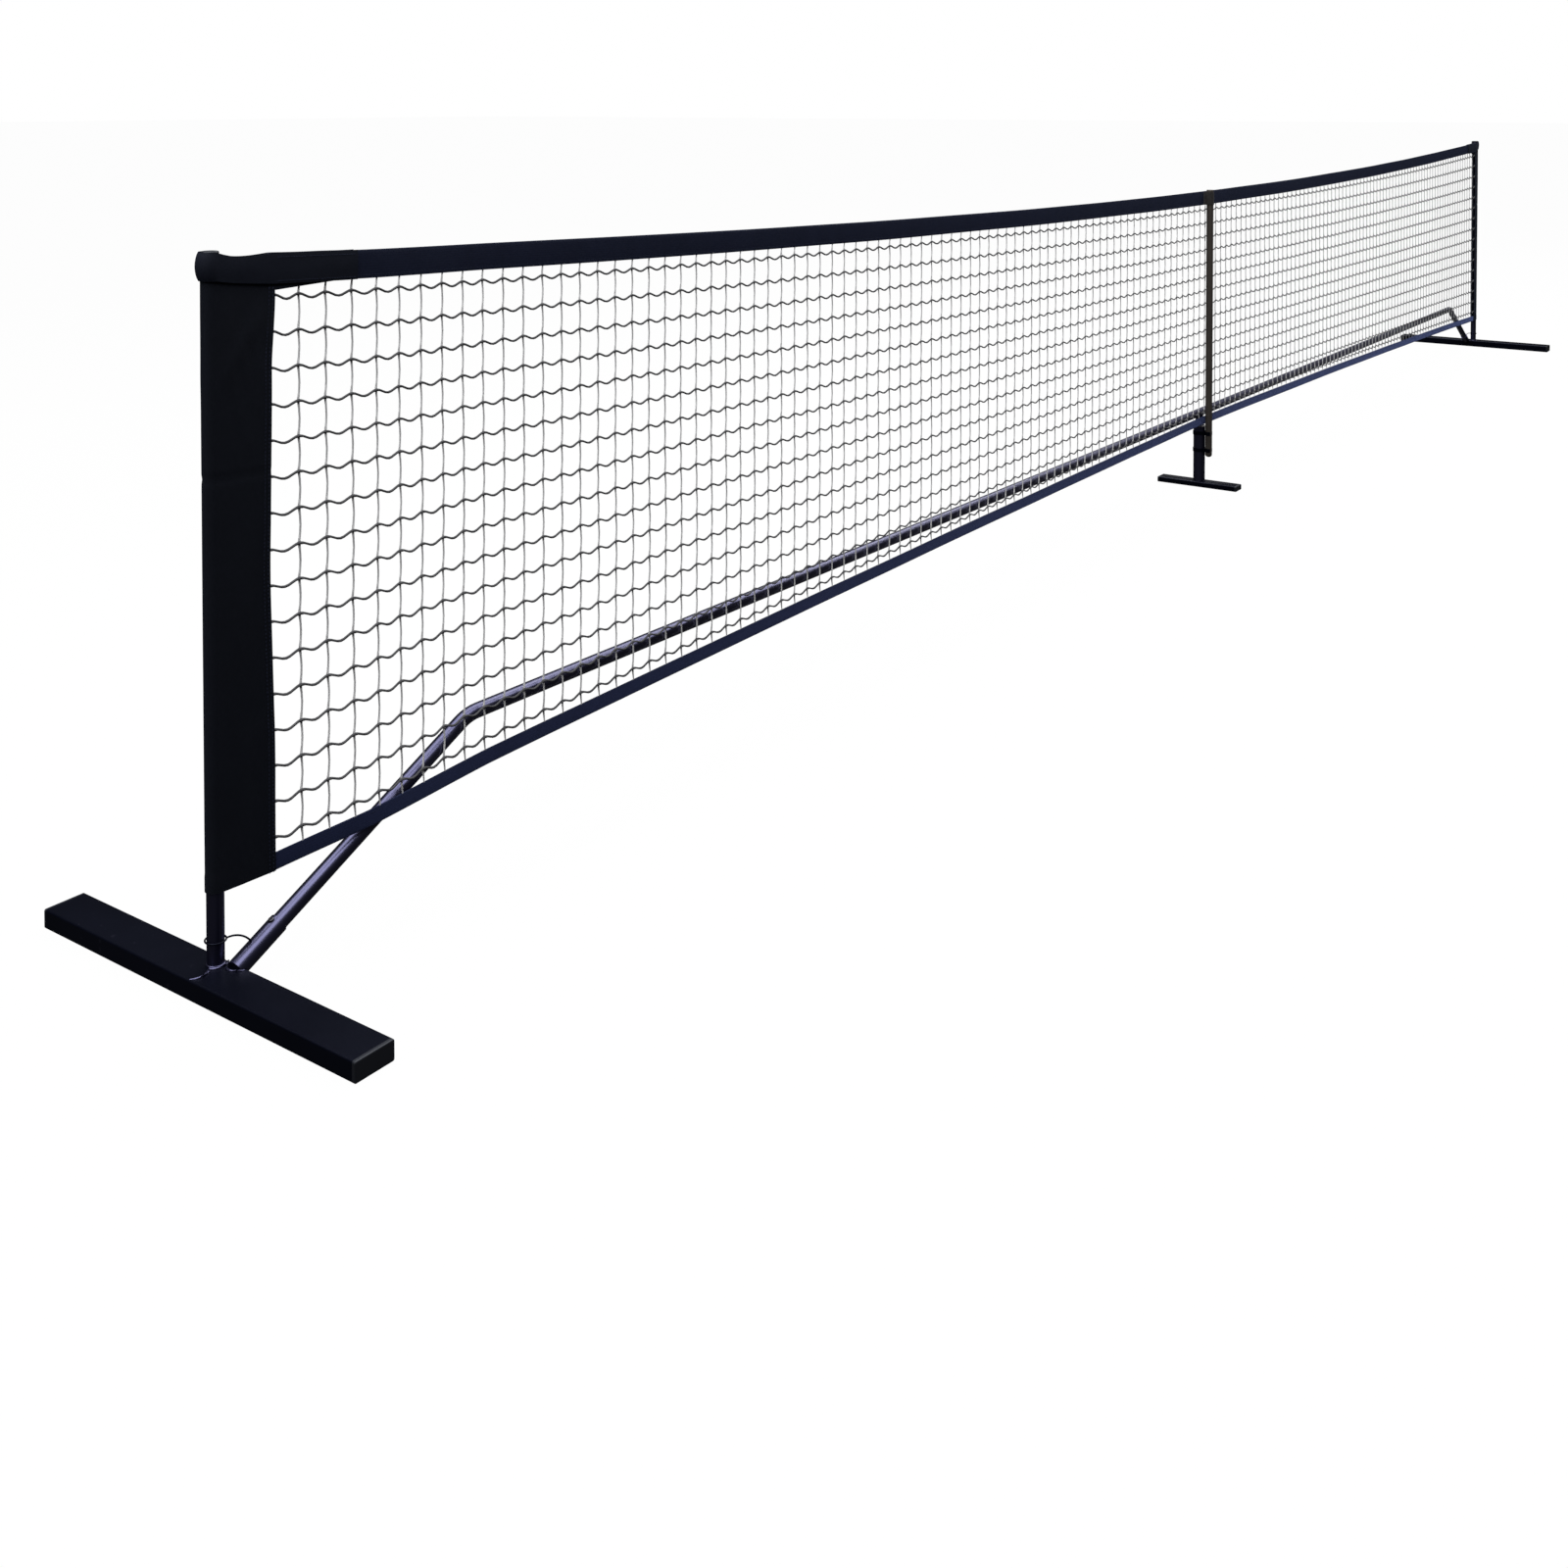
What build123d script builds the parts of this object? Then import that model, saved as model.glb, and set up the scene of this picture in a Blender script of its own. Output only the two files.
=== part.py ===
from build123d import *
import os
from math import atan2, cos, sin, sqrt

# Portable pickleball net, in millimetres.
# +X runs along the net, +Y is behind it, +Z is up, and the feet stand on Z = 0.
# The origin is on the floor, midway between the two end posts.
os.makedirs("parts", exist_ok=True)

# ---------------------------------------------------------------- driving dimensions
# Court sizes
post_spacing = 6706.0        # axis to axis of the two end posts, 22 ft
post_height = 914.0          # top of a post above the floor, 36 in
centre_height = 840.0        # top edge of the net at mid span

# Round frame tube
tube_od = 22.0
tube_wall = 1.2
fit_gap = 0.05               # radial clearance of every slip fit
seat_gap = 0.3               # clearance where a tube end meets a shoulder
frame_height = 209.0         # axis of the level tubes above the floor

# Feet
foot_width = 60.0
foot_height = 26.0
foot_wall = 1.5
foot_corner = 3.0
end_foot_length = 610.0
centre_foot_length = 230.0
centre_foot_width = 45.0
centre_foot_height = 15.0
cap_plate = 5.0              # thickness of an end cap outside the foot
cap_plug = 18.0              # length of an end cap inside the foot
cap_wall = 2.5
post_inset = 16.0            # post axis to the inner side of an end foot

# Post seat on an end foot
spigot_height = 90.0
spigot_wall = 1.5
weld_radius_over_post = 1.4
weld_height = 3.0
post_cap_plug = 15.0
post_cap_head = 3.0

# Slanting leg and its socket
leg_wall = 1.65              # wall of the socket around the leg
leg_side_gap = 2.3           # clear space between the post and the socket
leg_foot_inset = 17.0        # post axis to where the leg axis meets the foot's top
leg_run = 422.0              # length of the leg along X, from foot to bend
bend_radius = 90.0
socket_start = 8.0           # socket metal outboard of that meeting point
socket_floor = 8.0           # start of the socket's bore
socket_length = 68.0         # mouth of the socket
socket_button = 60.0         # snap button of the socket

# Level tubes, counted from mid span
tee_half = 300.0
bent_run = 614.0             # level stretch of a bent tube, from its joint to the bend point
male_length = 55.0
male_wall = 1.2
button_inset = 27.0          # snap button from the shoulder of a male end

# Snap buttons
button_radius = 4.0
button_hole_gap = 0.1
button_proud = 2.5
leaf_width = 6.0
leaf_thickness = 0.8
leaf_length = 26.0
leaf_heel = 6.0
leaf_gap = 0.3

# Link wire between the post and the leg socket
wire_radius = 1.2
wire_over_foot = 31.0
wire_post_gap = 0.7
wire_on_socket = 25.0
wire_rise = 1.0

# Centre station
tee_leg_od = 21.6
socket_post_od = 32.0
socket_post_wall = 1.5
tee_neck = 23.0              # tee leg that shows between the bush and the level tube
bush_flange = 4.0
bush_plug = 40.0

# Centre rod and its clips
rod_od = 19.0
rod_wall = 1.2
rod_bottom = 85.0
rod_over_net = 4.0           # head of the rod above the top edge of the net
rod_cap_plug = 14.0
rod_cap_head = 3.0
rod_gap = 1.5
clip_wall = 1.5
clip_height = 10.0
clip_below_bush = 24.0       # upper clip's lower face, below the socket post's top
clip_pitch = 48.0
clip_mouth = 16.0

# Net
top_tape = 38.0
bottom_tape = 22.0
tape_thickness = 2.4
mesh_thickness = 1.0
net_gap = 1.8                # tube to tape
sew_gap = 0.5                # between two sewn edges
post_over_net = 4.0          # post's top above the top edge of the net
tape_low_end = 120.0         # lower edge of the bottom tape at the posts
tape_low_centre = 178.0      # lower edge of the bottom tape at mid span
tape_low_bow = 7.0           # rise of that edge above a straight line, between post and mid span
sleeve_width = 75.0          # post axis to the seam of a sleeve
sleeve_slack = 1.3           # post to sleeve
sleeve_cloth = 1.4
strap_slack = 1.8            # post to corner strap
strap_cloth = 2.4
strap_reach = 210.0          # post axis to the inner end of a corner strap
loop_slack = 1.0             # rod to centre loop
loop_cloth = 1.4
loop_height = 36.0
loop_below_rod_top = 9.0

# ---------------------------------------------------------------- values that follow
post_x = post_spacing / 2
tube_r = tube_od / 2
bore_r = tube_r - tube_wall
male_r = bore_r - fit_gap
male_bore_r = male_r - male_wall
foot_x = post_x + foot_width / 2 - post_inset

socket_bore_r = tube_r + fit_gap
socket_r = socket_bore_r + leg_wall
leg_side = tube_r + leg_side_gap + socket_r
leg_foot_x = post_x - leg_foot_inset
leg_top_x = leg_foot_x - leg_run
leg_rise = frame_height - foot_height
level_tube = (leg_top_x - bent_run - tee_half) / 2
outer_joint_x = tee_half + 2 * level_tube
inner_joint_x = tee_half + level_tube
wire_height = foot_height + wire_over_foot

net_end_height = post_height - post_over_net
net_y = -(tube_r + net_gap + tape_thickness / 2)
seam_x = post_x - sleeve_width

# The left leg leans in front of the posts, so the net bulges forward over it
tape_share = (tape_low_end - foot_height) / leg_rise
bulge_x = leg_foot_x - leg_run * tape_share
bulge_y = -leg_side * (1 - tape_share) - tube_r - net_gap - tape_thickness / 2
left_seam_y = (net_y + bulge_y) / 2
level_x = leg_top_x - male_length / 2

tee_leg_r = tee_leg_od / 2
tee_low_end = centre_foot_height + seat_gap
socket_post_r = socket_post_od / 2
socket_post_top = frame_height - tube_r - tee_neck - bush_flange
rod_r = rod_od / 2
rod_top = centre_height + rod_over_net
net_front = -net_y + tape_thickness / 2
loop_r = rod_r + loop_slack
rod_y = -max(socket_post_r + rod_gap + rod_r, net_front + loop_r + loop_cloth + seat_gap)


def save(part, label):
    """Label a finished piece and write it."""
    part.label = label
    export_step(part, f"parts/{label}.step")


def side_name(side):
    """The left end is at -X and the right end is at +X."""
    if side < 0:
        return "left"
    return "right"


# ---------------------------------------------------------------- feet
def make_foot(label, x, length, width, height):
    """Rectangular tube lying along Y, shorter than the foot by its two cap plates."""
    tube_length = length - 2 * cap_plate
    with BuildPart() as foot:
        with BuildSketch(Plane.XZ.offset(-tube_length / 2)):
            with Locations((x, height / 2)):
                RectangleRounded(width, height, foot_corner)
                RectangleRounded(width - 2 * foot_wall, height - 2 * foot_wall,
                                 foot_corner - foot_wall, mode=Mode.SUBTRACT)
        extrude(amount=tube_length)
    save(foot.part, label)


def make_foot_cap(label, x, length, way, width, height):
    """Moulded cap: a plate outside the foot and a hollow plug inside it."""
    tube_end = way * (length / 2 - cap_plate)
    plug_width = width - 2 * foot_wall - 2 * fit_gap
    plug_height = height - 2 * foot_wall - 2 * fit_gap
    outward = Plane(origin=(x, tube_end, height / 2), x_dir=(1, 0, 0), z_dir=(0, way, 0))
    with BuildPart() as cap:
        with BuildSketch(outward):
            RectangleRounded(width, height, foot_corner)
        extrude(amount=cap_plate)
        fillet(cap.faces().sort_by(Axis.Y)[-1 if way > 0 else 0].edges(), cap_plate / 2.5)
        with BuildSketch(outward):
            RectangleRounded(plug_width, plug_height, foot_corner - foot_wall)
        extrude(amount=-cap_plug)
        with BuildSketch(outward.offset(-cap_plug)):
            Rectangle(plug_width - 2 * cap_wall, plug_height - 2 * cap_wall)
        extrude(amount=cap_plug - cap_wall, mode=Mode.SUBTRACT)
    save(cap.part, label)


for side in (-1, 1):
    make_foot(f"foot_{side_name(side)}", side * foot_x, end_foot_length, foot_width, foot_height)
    for way, way_name in ((-1, "front"), (1, "back")):
        make_foot_cap(f"foot_cap_{side_name(side)}_{way_name}", side * foot_x, end_foot_length, way,
                      foot_width, foot_height)
make_foot("centre_foot", 0, centre_foot_length, centre_foot_width, centre_foot_height)
for way, way_name in ((-1, "front"), (1, "back")):
    make_foot_cap(f"centre_foot_cap_{way_name}", 0, centre_foot_length, way,
                  centre_foot_width, centre_foot_height)


# ---------------------------------------------------------------- end posts
for side in (-1, 1):
    name = side_name(side)
    seat = foot_height + weld_height

    # Upright stub welded to the foot, with its weld bead as a low collar
    with BuildPart() as post_spigot:
        with BuildSketch(Plane.XY.offset(foot_height)):
            with Locations((side * post_x, 0)):
                Circle(tube_r + weld_radius_over_post)
        extrude(amount=weld_height)
        fillet(post_spigot.faces().sort_by(Axis.Z)[-1].edges(), weld_height / 2)
        with BuildSketch(Plane.XY.offset(foot_height)):
            with Locations((side * post_x, 0)):
                Circle(male_r)
        extrude(amount=weld_height + spigot_height)
        chamfer(post_spigot.faces().sort_by(Axis.Z)[-1].edges(), spigot_wall / 2)
        with BuildSketch(Plane.XY.offset(foot_height)):
            with Locations((side * post_x, 0)):
                Circle(male_r - spigot_wall)
        extrude(amount=weld_height + spigot_height, mode=Mode.SUBTRACT)
    save(post_spigot.part, f"post_spigot_{name}")

    # Post, slipped over the spigot and standing on the collar
    with BuildPart() as post:
        with BuildSketch(Plane.XY.offset(seat)):
            with Locations((side * post_x, 0)):
                Circle(tube_r)
                Circle(bore_r, mode=Mode.SUBTRACT)
        extrude(amount=post_height - post_cap_head - seat)
    save(post.part, f"post_{name}")

    # Plastic cap plugged into the top of the post
    with BuildPart() as post_cap:
        with BuildSketch(Plane.XY.offset(post_height - post_cap_head)):
            with Locations((side * post_x, 0)):
                Circle(tube_r)
        extrude(amount=post_cap_head)
        fillet(post_cap.faces().sort_by(Axis.Z)[-1].edges(), post_cap_head / 2)
        with BuildSketch(Plane.XY.offset(post_height - post_cap_head)):
            with Locations((side * post_x, 0)):
                Circle(male_r)
        extrude(amount=-post_cap_plug)
        with BuildSketch(Plane.XY.offset(post_height - post_cap_head - post_cap_plug)):
            with Locations((side * post_x, 0)):
                Circle(male_r - cap_wall)
        extrude(amount=post_cap_plug - post_cap_head, mode=Mode.SUBTRACT)
    save(post_cap.part, f"post_cap_{name}")


# ---------------------------------------------------------------- slanting legs
def leg_plane(side, distance):
    """Plane across a leg, a distance along it; its x axis points up, away from the floor."""
    along = Vector(-side * leg_run, -side * leg_side, leg_rise).normalized()
    foot_point = Vector(side * leg_foot_x, side * leg_side, foot_height)
    upward = (Vector(0, 0, 1) - along * along.Z).normalized()
    return Plane(origin=foot_point + along * distance, x_dir=upward, z_dir=along)


def drill(across, reach):
    """Cut a snap button's hole through the wall on the plane's +x side."""
    outward = Plane(origin=across.origin, x_dir=across.z_dir, z_dir=across.x_dir)
    with BuildSketch(outward) as hole:
        Circle(button_radius + button_hole_gap)
    extrude(hole.sketch, amount=reach, mode=Mode.SUBTRACT)


for side in (-1, 1):
    name = side_name(side)

    # Socket welded over the foot's inner top edge, beside the post
    with BuildPart() as leg_socket:
        with BuildSketch(leg_plane(side, -socket_start)):
            Circle(socket_r)
        extrude(amount=socket_start + socket_length)
        with BuildSketch(leg_plane(side, socket_floor)):
            Circle(socket_bore_r)
        extrude(amount=socket_length - socket_floor, mode=Mode.SUBTRACT)
        drill(leg_plane(side, socket_button), 2 * socket_r)
        with BuildSketch(Plane.XY):
            with Locations((side * foot_x, side * leg_side)):
                Rectangle(foot_width, 4 * socket_r)
        extrude(amount=foot_height, mode=Mode.SUBTRACT)
    save(leg_socket.part, f"leg_socket_{name}")

    # Bent tube: the leg, one bend, and the first stretch of the level tube
    leg_end = leg_plane(side, socket_floor + seat_gap)
    bend_point = (side * leg_top_x, 0, frame_height)
    joint_point = (side * (outer_joint_x + seat_gap), 0, frame_height)
    with BuildPart() as bent_tube:
        with BuildLine():
            FilletPolyline(leg_end.origin, bend_point, joint_point, radius=bend_radius)
        with BuildSketch(leg_end):
            Circle(tube_r)
            Circle(bore_r, mode=Mode.SUBTRACT)
        sweep()
        drill(leg_plane(side, socket_button), 2 * tube_r)
        button_at = Plane(origin=(side * (outer_joint_x + button_inset), 0, frame_height),
                          x_dir=(0, 1, 0), z_dir=(1, 0, 0))
        drill(button_at, 2 * tube_r)
    save(bent_tube.part, f"bent_tube_{name}")

    # Wire that ties the post's foot to the socket: a ring round the post and an arched bar
    ring_r = tube_r + wire_post_gap + wire_radius
    wire_seat = leg_plane(side, wire_on_socket)
    wire_end = wire_seat.origin + wire_seat.x_dir * socket_r
    toward = atan2(wire_end.Y, wire_end.X - side * post_x)
    wire_start = Vector(side * post_x + ring_r * cos(toward), ring_r * sin(toward), wire_height)
    wire_middle = (wire_start + wire_end) * 0.5 + Vector(0, 0, wire_rise + abs(wire_height - wire_end.Z) / 2)
    with BuildPart() as link_wire:
        with BuildSketch(Plane.XZ):
            with Locations((side * post_x + ring_r, wire_height)):
                Circle(wire_radius)
        revolve(axis=Axis((side * post_x, 0, 0), (0, 0, 1)))
        with BuildLine() as wire_line:
            ThreePointArc(wire_start, wire_middle, wire_end)
        with BuildSketch(Plane(origin=wire_start, z_dir=wire_line.line % 0)):
            Circle(wire_radius)
        sweep()
    save(link_wire.part, f"link_wire_{name}")


# ---------------------------------------------------------------- level tubes
def across_x(x):
    """Plane across the level tubes; its x axis points to the back of the net."""
    return Plane(origin=(x, 0, frame_height), x_dir=(0, 1, 0), z_dir=(1, 0, 0))


def add_male_end(shoulder, outward):
    """Swaged end that slips into the next tube, with the hole of its snap button."""
    throat = 2 * tube_wall
    with BuildSketch(across_x(shoulder - outward * throat)) as neck:
        Circle(bore_r)
    extrude(neck.sketch, amount=outward * throat)
    with BuildSketch(across_x(shoulder)) as swage:
        Circle(male_r)
    extrude(swage.sketch, amount=outward * male_length)
    with BuildSketch(across_x(shoulder - outward * throat)) as bore:
        Circle(male_bore_r)
    extrude(bore.sketch, amount=outward * (male_length + throat), mode=Mode.SUBTRACT)
    drill(across_x(shoulder + outward * button_inset), 2 * tube_r)


for side in (-1, 1):
    for place, shoulder in (("outer", outer_joint_x), ("inner", inner_joint_x)):
        with BuildPart() as level:
            with BuildSketch(across_x(side * shoulder)):
                Circle(tube_r)
                Circle(bore_r, mode=Mode.SUBTRACT)
            extrude(amount=-side * (level_tube - seat_gap))
            add_male_end(side * shoulder, side)
            drill(across_x(side * (shoulder - level_tube + button_inset)), 2 * tube_r)
        save(level.part, f"{place}_tube_{side_name(side)}")

# Tee: a level bar with two male ends and a leg that drops into the centre socket
with BuildPart() as tee:
    with BuildSketch(across_x(-tee_half)):
        Circle(tube_r)
    extrude(amount=2 * tee_half)
    with BuildSketch(Plane.XY.offset(tee_low_end)):
        Circle(tee_leg_r)
    extrude(amount=frame_height - tee_low_end)
    with BuildSketch(Plane.XY.offset(tee_low_end)):
        Circle(tee_leg_r - tube_wall)
    extrude(amount=frame_height - tee_low_end, mode=Mode.SUBTRACT)
    with BuildSketch(across_x(-tee_half)):
        Circle(bore_r)
    extrude(amount=2 * tee_half, mode=Mode.SUBTRACT)
    for side in (-1, 1):
        add_male_end(side * tee_half, side)
save(tee.part, "tee")


# ---------------------------------------------------------------- snap buttons
def make_snap(label, across, inner_r, cover_r):
    """Button and its leaf, which move, and the fixed half of the leaf spring.

    The plane lies across the tube at the button, with its x axis along the button and its z axis
    towards the spring's bend. inner_r is the bore that the spring sits in, and cover_r is the
    outside of the outer tube, which the button stands proud of.
    """
    leaf_top = sqrt(inner_r**2 - (leaf_width / 2) ** 2) - leaf_gap
    outward = Plane(origin=across.origin, x_dir=across.z_dir, z_dir=across.x_dir)
    leaf_middle = (leaf_length - leaf_heel) / 2
    with BuildPart() as button:
        with BuildSketch(outward.offset(leaf_top - leaf_thickness)):
            with Locations((leaf_middle, 0)):
                Rectangle(leaf_length + leaf_heel, leaf_width)
        extrude(amount=leaf_thickness)
        with BuildSketch(outward.offset(leaf_top - leaf_thickness)):
            Circle(button_radius)
        extrude(amount=cover_r + button_proud - leaf_top + leaf_thickness)
        tip = button.faces().filter_by(GeomType.PLANE).sort_by(Axis(across.origin, across.x_dir))[-1]
        fillet(tip.edges(), button_radius / 2.5)
    save(button.part, f"snap_button_{label}")

    side_on = Plane(origin=across.origin, x_dir=across.z_dir,
                    z_dir=across.z_dir.cross(across.x_dir))
    middle_r = leaf_top - leaf_thickness / 2
    bend_start = leaf_length + leaf_gap + leaf_thickness / 2
    with BuildPart() as spring:
        with BuildSketch(side_on):
            with BuildLine():
                heel = Line((-leaf_heel, -middle_r), (bend_start, -middle_r))
                RadiusArc(heel @ 1, (bend_start, middle_r), -middle_r)
                offset(amount=leaf_thickness / 2)
            make_face()
        extrude(amount=leaf_width / 2, both=True)
    save(spring.part, f"snap_spring_{label}")


for side in (-1, 1):
    name = side_name(side)
    make_snap(f"leg_{name}", leg_plane(side, socket_button), bore_r, socket_r)
    for place, shoulder in (("outer", outer_joint_x), ("middle", inner_joint_x), ("inner", tee_half)):
        button_plane = Plane(origin=(side * (shoulder + button_inset), 0, frame_height),
                             x_dir=(0, 1, 0), z_dir=(-side, 0, 0))
        make_snap(f"{place}_{name}", button_plane, male_bore_r, tube_r)


# ---------------------------------------------------------------- centre station
with BuildPart() as socket_post:
    with BuildSketch(Plane.XY.offset(centre_foot_height)):
        Circle(socket_post_r)
        Circle(socket_post_r - socket_post_wall, mode=Mode.SUBTRACT)
    extrude(amount=socket_post_top - centre_foot_height)
save(socket_post.part, "socket_post")

with BuildPart() as socket_bush:
    with BuildSketch(Plane.XY.offset(socket_post_top)):
        Circle(socket_post_r)
    extrude(amount=bush_flange)
    fillet(socket_bush.faces().sort_by(Axis.Z)[-1].edges(), bush_flange / 3)
    with BuildSketch(Plane.XY.offset(socket_post_top)):
        Circle(socket_post_r - socket_post_wall - fit_gap)
    extrude(amount=-bush_plug)
    with BuildSketch(Plane.XY.offset(socket_post_top - bush_plug)):
        Circle(tee_leg_r + fit_gap)
    extrude(amount=bush_plug + bush_flange, mode=Mode.SUBTRACT)
save(socket_bush.part, "socket_bush")

# Spring clips that hold the centre rod in front of the socket post
clip_high = socket_post_top - clip_below_bush
for place, height in (("lower", clip_high - clip_pitch), ("upper", clip_high)):
    with BuildPart() as rod_clip:
        with BuildSketch(Plane.XY.offset(height)):
            Circle(socket_post_r + clip_wall)
            with Locations((0, rod_y)):
                Circle(rod_r + fit_gap + clip_wall)
            with Locations((0, rod_y / 2)):
                Rectangle(rod_r * 1.4, -rod_y)
            Circle(socket_post_r + fit_gap, mode=Mode.SUBTRACT)
            with Locations((0, rod_y)):
                Circle(rod_r + fit_gap, mode=Mode.SUBTRACT)
            with Locations((0, rod_y - rod_r)):
                Rectangle(clip_mouth, rod_r, mode=Mode.SUBTRACT)
        extrude(amount=clip_height)
    save(rod_clip.part, f"rod_clip_{place}")

# Centre rod with its two caps
rod_low_end = rod_bottom + rod_r
rod_high_end = rod_top - rod_cap_head
with BuildPart() as centre_rod:
    with BuildSketch(Plane.XY.offset(rod_low_end)):
        with Locations((0, rod_y)):
            Circle(rod_r)
            Circle(rod_r - rod_wall, mode=Mode.SUBTRACT)
    extrude(amount=rod_high_end - rod_low_end)
save(centre_rod.part, "centre_rod")

with BuildPart() as rod_foot_cap:
    with BuildSketch(Plane.XY.offset(rod_bottom)):
        with Locations((0, rod_y)):
            Circle(rod_r)
    extrude(amount=rod_r)
    fillet(rod_foot_cap.faces().sort_by(Axis.Z)[0].edges(), rod_r * 0.8)
    with BuildSketch(Plane.XY.offset(rod_low_end)):
        with Locations((0, rod_y)):
            Circle(rod_r - rod_wall - fit_gap)
    extrude(amount=rod_cap_plug)
save(rod_foot_cap.part, "rod_foot_cap")

with BuildPart() as rod_head_cap:
    with BuildSketch(Plane.XY.offset(rod_high_end)):
        with Locations((0, rod_y)):
            Circle(rod_r)
    extrude(amount=rod_cap_head)
    fillet(rod_head_cap.faces().sort_by(Axis.Z)[-1].edges(), rod_cap_head / 2)
    with BuildSketch(Plane.XY.offset(rod_high_end)):
        with Locations((0, rod_y)):
            Circle(rod_r - rod_wall - fit_gap)
    extrude(amount=-rod_cap_plug)
save(rod_head_cap.part, "rod_head_cap")


# ---------------------------------------------------------------- net
# The net is laid out as a strip in plan, which is cut to its outline seen from the front.
plan_points = [(-post_x, left_seam_y), (-seam_x, left_seam_y), (-bulge_x, bulge_y),
               (-level_x, net_y), (post_x, net_y)]


def plan_y(x):
    """Place of the net's middle plane behind or in front of the posts, at x."""
    for (x0, y0), (x1, y1) in zip(plan_points, plan_points[1:]):
        if x <= x1:
            return y0 + (y1 - y0) * (x - x0) / (x1 - x0)
    return net_y


def plan_strip(x0, x1, thickness):
    """Corner points, in plan, of a strip of the net."""
    stations = [x0] + [x for x, y in plan_points if x0 < x < x1] + [x1]
    near = [(x, plan_y(x) - thickness / 2) for x in stations]
    far = [(x, plan_y(x) + thickness / 2) for x in reversed(stations)]
    return near + far


def top_edge(x, drop):
    """Height of the sagging top edge of the net, less a drop."""
    return centre_height + (net_end_height - centre_height) * (x / post_x) ** 2 - drop


def low_edge(x, rise):
    """Height of the lower edge of the net, which is drawn up at mid span, plus a rise."""
    share = abs(x) / post_x
    straight = tape_low_centre + (tape_low_end - tape_low_centre) * share
    return straight + 4 * tape_low_bow * share * (1 - share) + rise


def three_points(edge, x0, x1, shift):
    """Start, middle and end of an edge of the net."""
    return [(x, edge(x, shift)) for x in (x0, (x0 + x1) / 2, x1)]


def make_band(label, x0, x1, thickness, upper, lower):
    """A stretch of the net between two edges, each given as (edge, shift, spans)."""
    with BuildPart() as band:
        with BuildSketch(Plane.XY):
            with BuildLine():
                Polyline(*plan_strip(x0, x1, thickness), close=True)
            make_face()
        extrude(amount=post_height + top_tape)
        with BuildSketch(Plane.XZ):
            with BuildLine():
                for edge, shift, breaks in (upper, lower):
                    for a, b in zip(breaks, breaks[1:]):
                        ThreePointArc(*three_points(edge, a, b, shift))
                Line((x0, upper[0](x0, upper[1])), (x0, lower[0](x0, lower[1])))
                Line((x1, upper[0](x1, upper[1])), (x1, lower[0](x1, lower[1])))
            make_face()
        extrude(amount=end_foot_length, both=True, mode=Mode.INTERSECT)
    save(band.part, label)


strap_end = post_x - strap_reach
tape_end = strap_end - sew_gap
make_band("top_tape", -tape_end, tape_end, tape_thickness,
          (top_edge, 0, (-tape_end, tape_end)), (top_edge, top_tape, (-tape_end, tape_end)))
low_end = seam_x - sew_gap
make_band("bottom_tape", -low_end, low_end, tape_thickness,
          (low_edge, bottom_tape, (-low_end, 0, low_end)), (low_edge, 0, (-low_end, 0, low_end)))
for side in (-1, 1):
    reach = (min(side * sew_gap, side * low_end), max(side * sew_gap, side * low_end))
    make_band(f"mesh_{side_name(side)}", *reach, mesh_thickness,
              (top_edge, top_tape + sew_gap, reach), (low_edge, bottom_tape + sew_gap, reach))


def loop_outline(side, seam_y, inside, cloth):
    """Plan of a cloth loop round a post, drawn to a flat seam."""
    fold = 3 * cloth
    seam = (side * seam_x, seam_y)
    fold_point = (side * (seam_x + fold), seam_y * (1 - fold / sleeve_width))
    with BuildSketch(mode=Mode.PRIVATE) as outline:
        with BuildLine():
            CenterArc((side * post_x, 0), inside + cloth, 0, 360)
            CenterArc(seam, cloth, 0, 360)
        make_hull()
        with BuildSketch(mode=Mode.SUBTRACT):
            with BuildLine():
                CenterArc((side * post_x, 0), inside, 0, 360)
                CenterArc(fold_point, cloth / 3, 0, 360)
            make_hull()
    return outline.sketch


for side, seam_y in ((-1, left_seam_y), (1, net_y)):
    name = side_name(side)
    with BuildPart() as sleeve:
        with BuildSketch(Plane.XY.offset(tape_low_end)):
            add(loop_outline(side, seam_y, tube_r + sleeve_slack, sleeve_cloth))
        extrude(amount=top_edge(seam_x, top_tape + sew_gap) - tape_low_end)
    save(sleeve.part, f"sleeve_{name}")

    # Corner strap: a loop round the post's head and a flat tail along the top of the net
    inner, outer = sorted((side * strap_end, side * (seam_x - sew_gap)))
    with BuildPart() as corner_strap:
        with BuildSketch(Plane.XY.offset(top_edge(seam_x, top_tape))):
            add(loop_outline(side, seam_y, tube_r + strap_slack, strap_cloth))
        extrude(amount=top_tape + net_end_height - top_edge(seam_x, 0))
        with BuildSketch(Plane.XY.offset(top_edge(seam_x, top_tape))):
            with BuildLine():
                Polyline(*plan_strip(inner, outer, 2 * strap_cloth), close=True)
            make_face()
        extrude(amount=top_tape)
    save(corner_strap.part, f"corner_strap_{name}")

# Grey loop sewn to the top tape, which holds the head of the centre rod
with BuildPart() as centre_loop:
    with BuildSketch(Plane.XY.offset(rod_top - loop_below_rod_top - loop_height)):
        with Locations((0, rod_y)):
            Circle(loop_r + loop_cloth)
        with Locations((0, (rod_y - net_front) / 2)):
            Rectangle(2 * (loop_r + loop_cloth), -rod_y - net_front)
        with Locations((0, rod_y)):
            Circle(loop_r, mode=Mode.SUBTRACT)
    extrude(amount=loop_height)
save(centre_loop.part, "centre_loop")
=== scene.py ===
"""Dresses the portable pickleball net: twine, tapes, sleeves, straps, weld beads, finishes, light and camera.

Everything is in metres in the frame's own axes: +X along the net, +Y behind it, Z up from the floor.
"""

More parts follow.
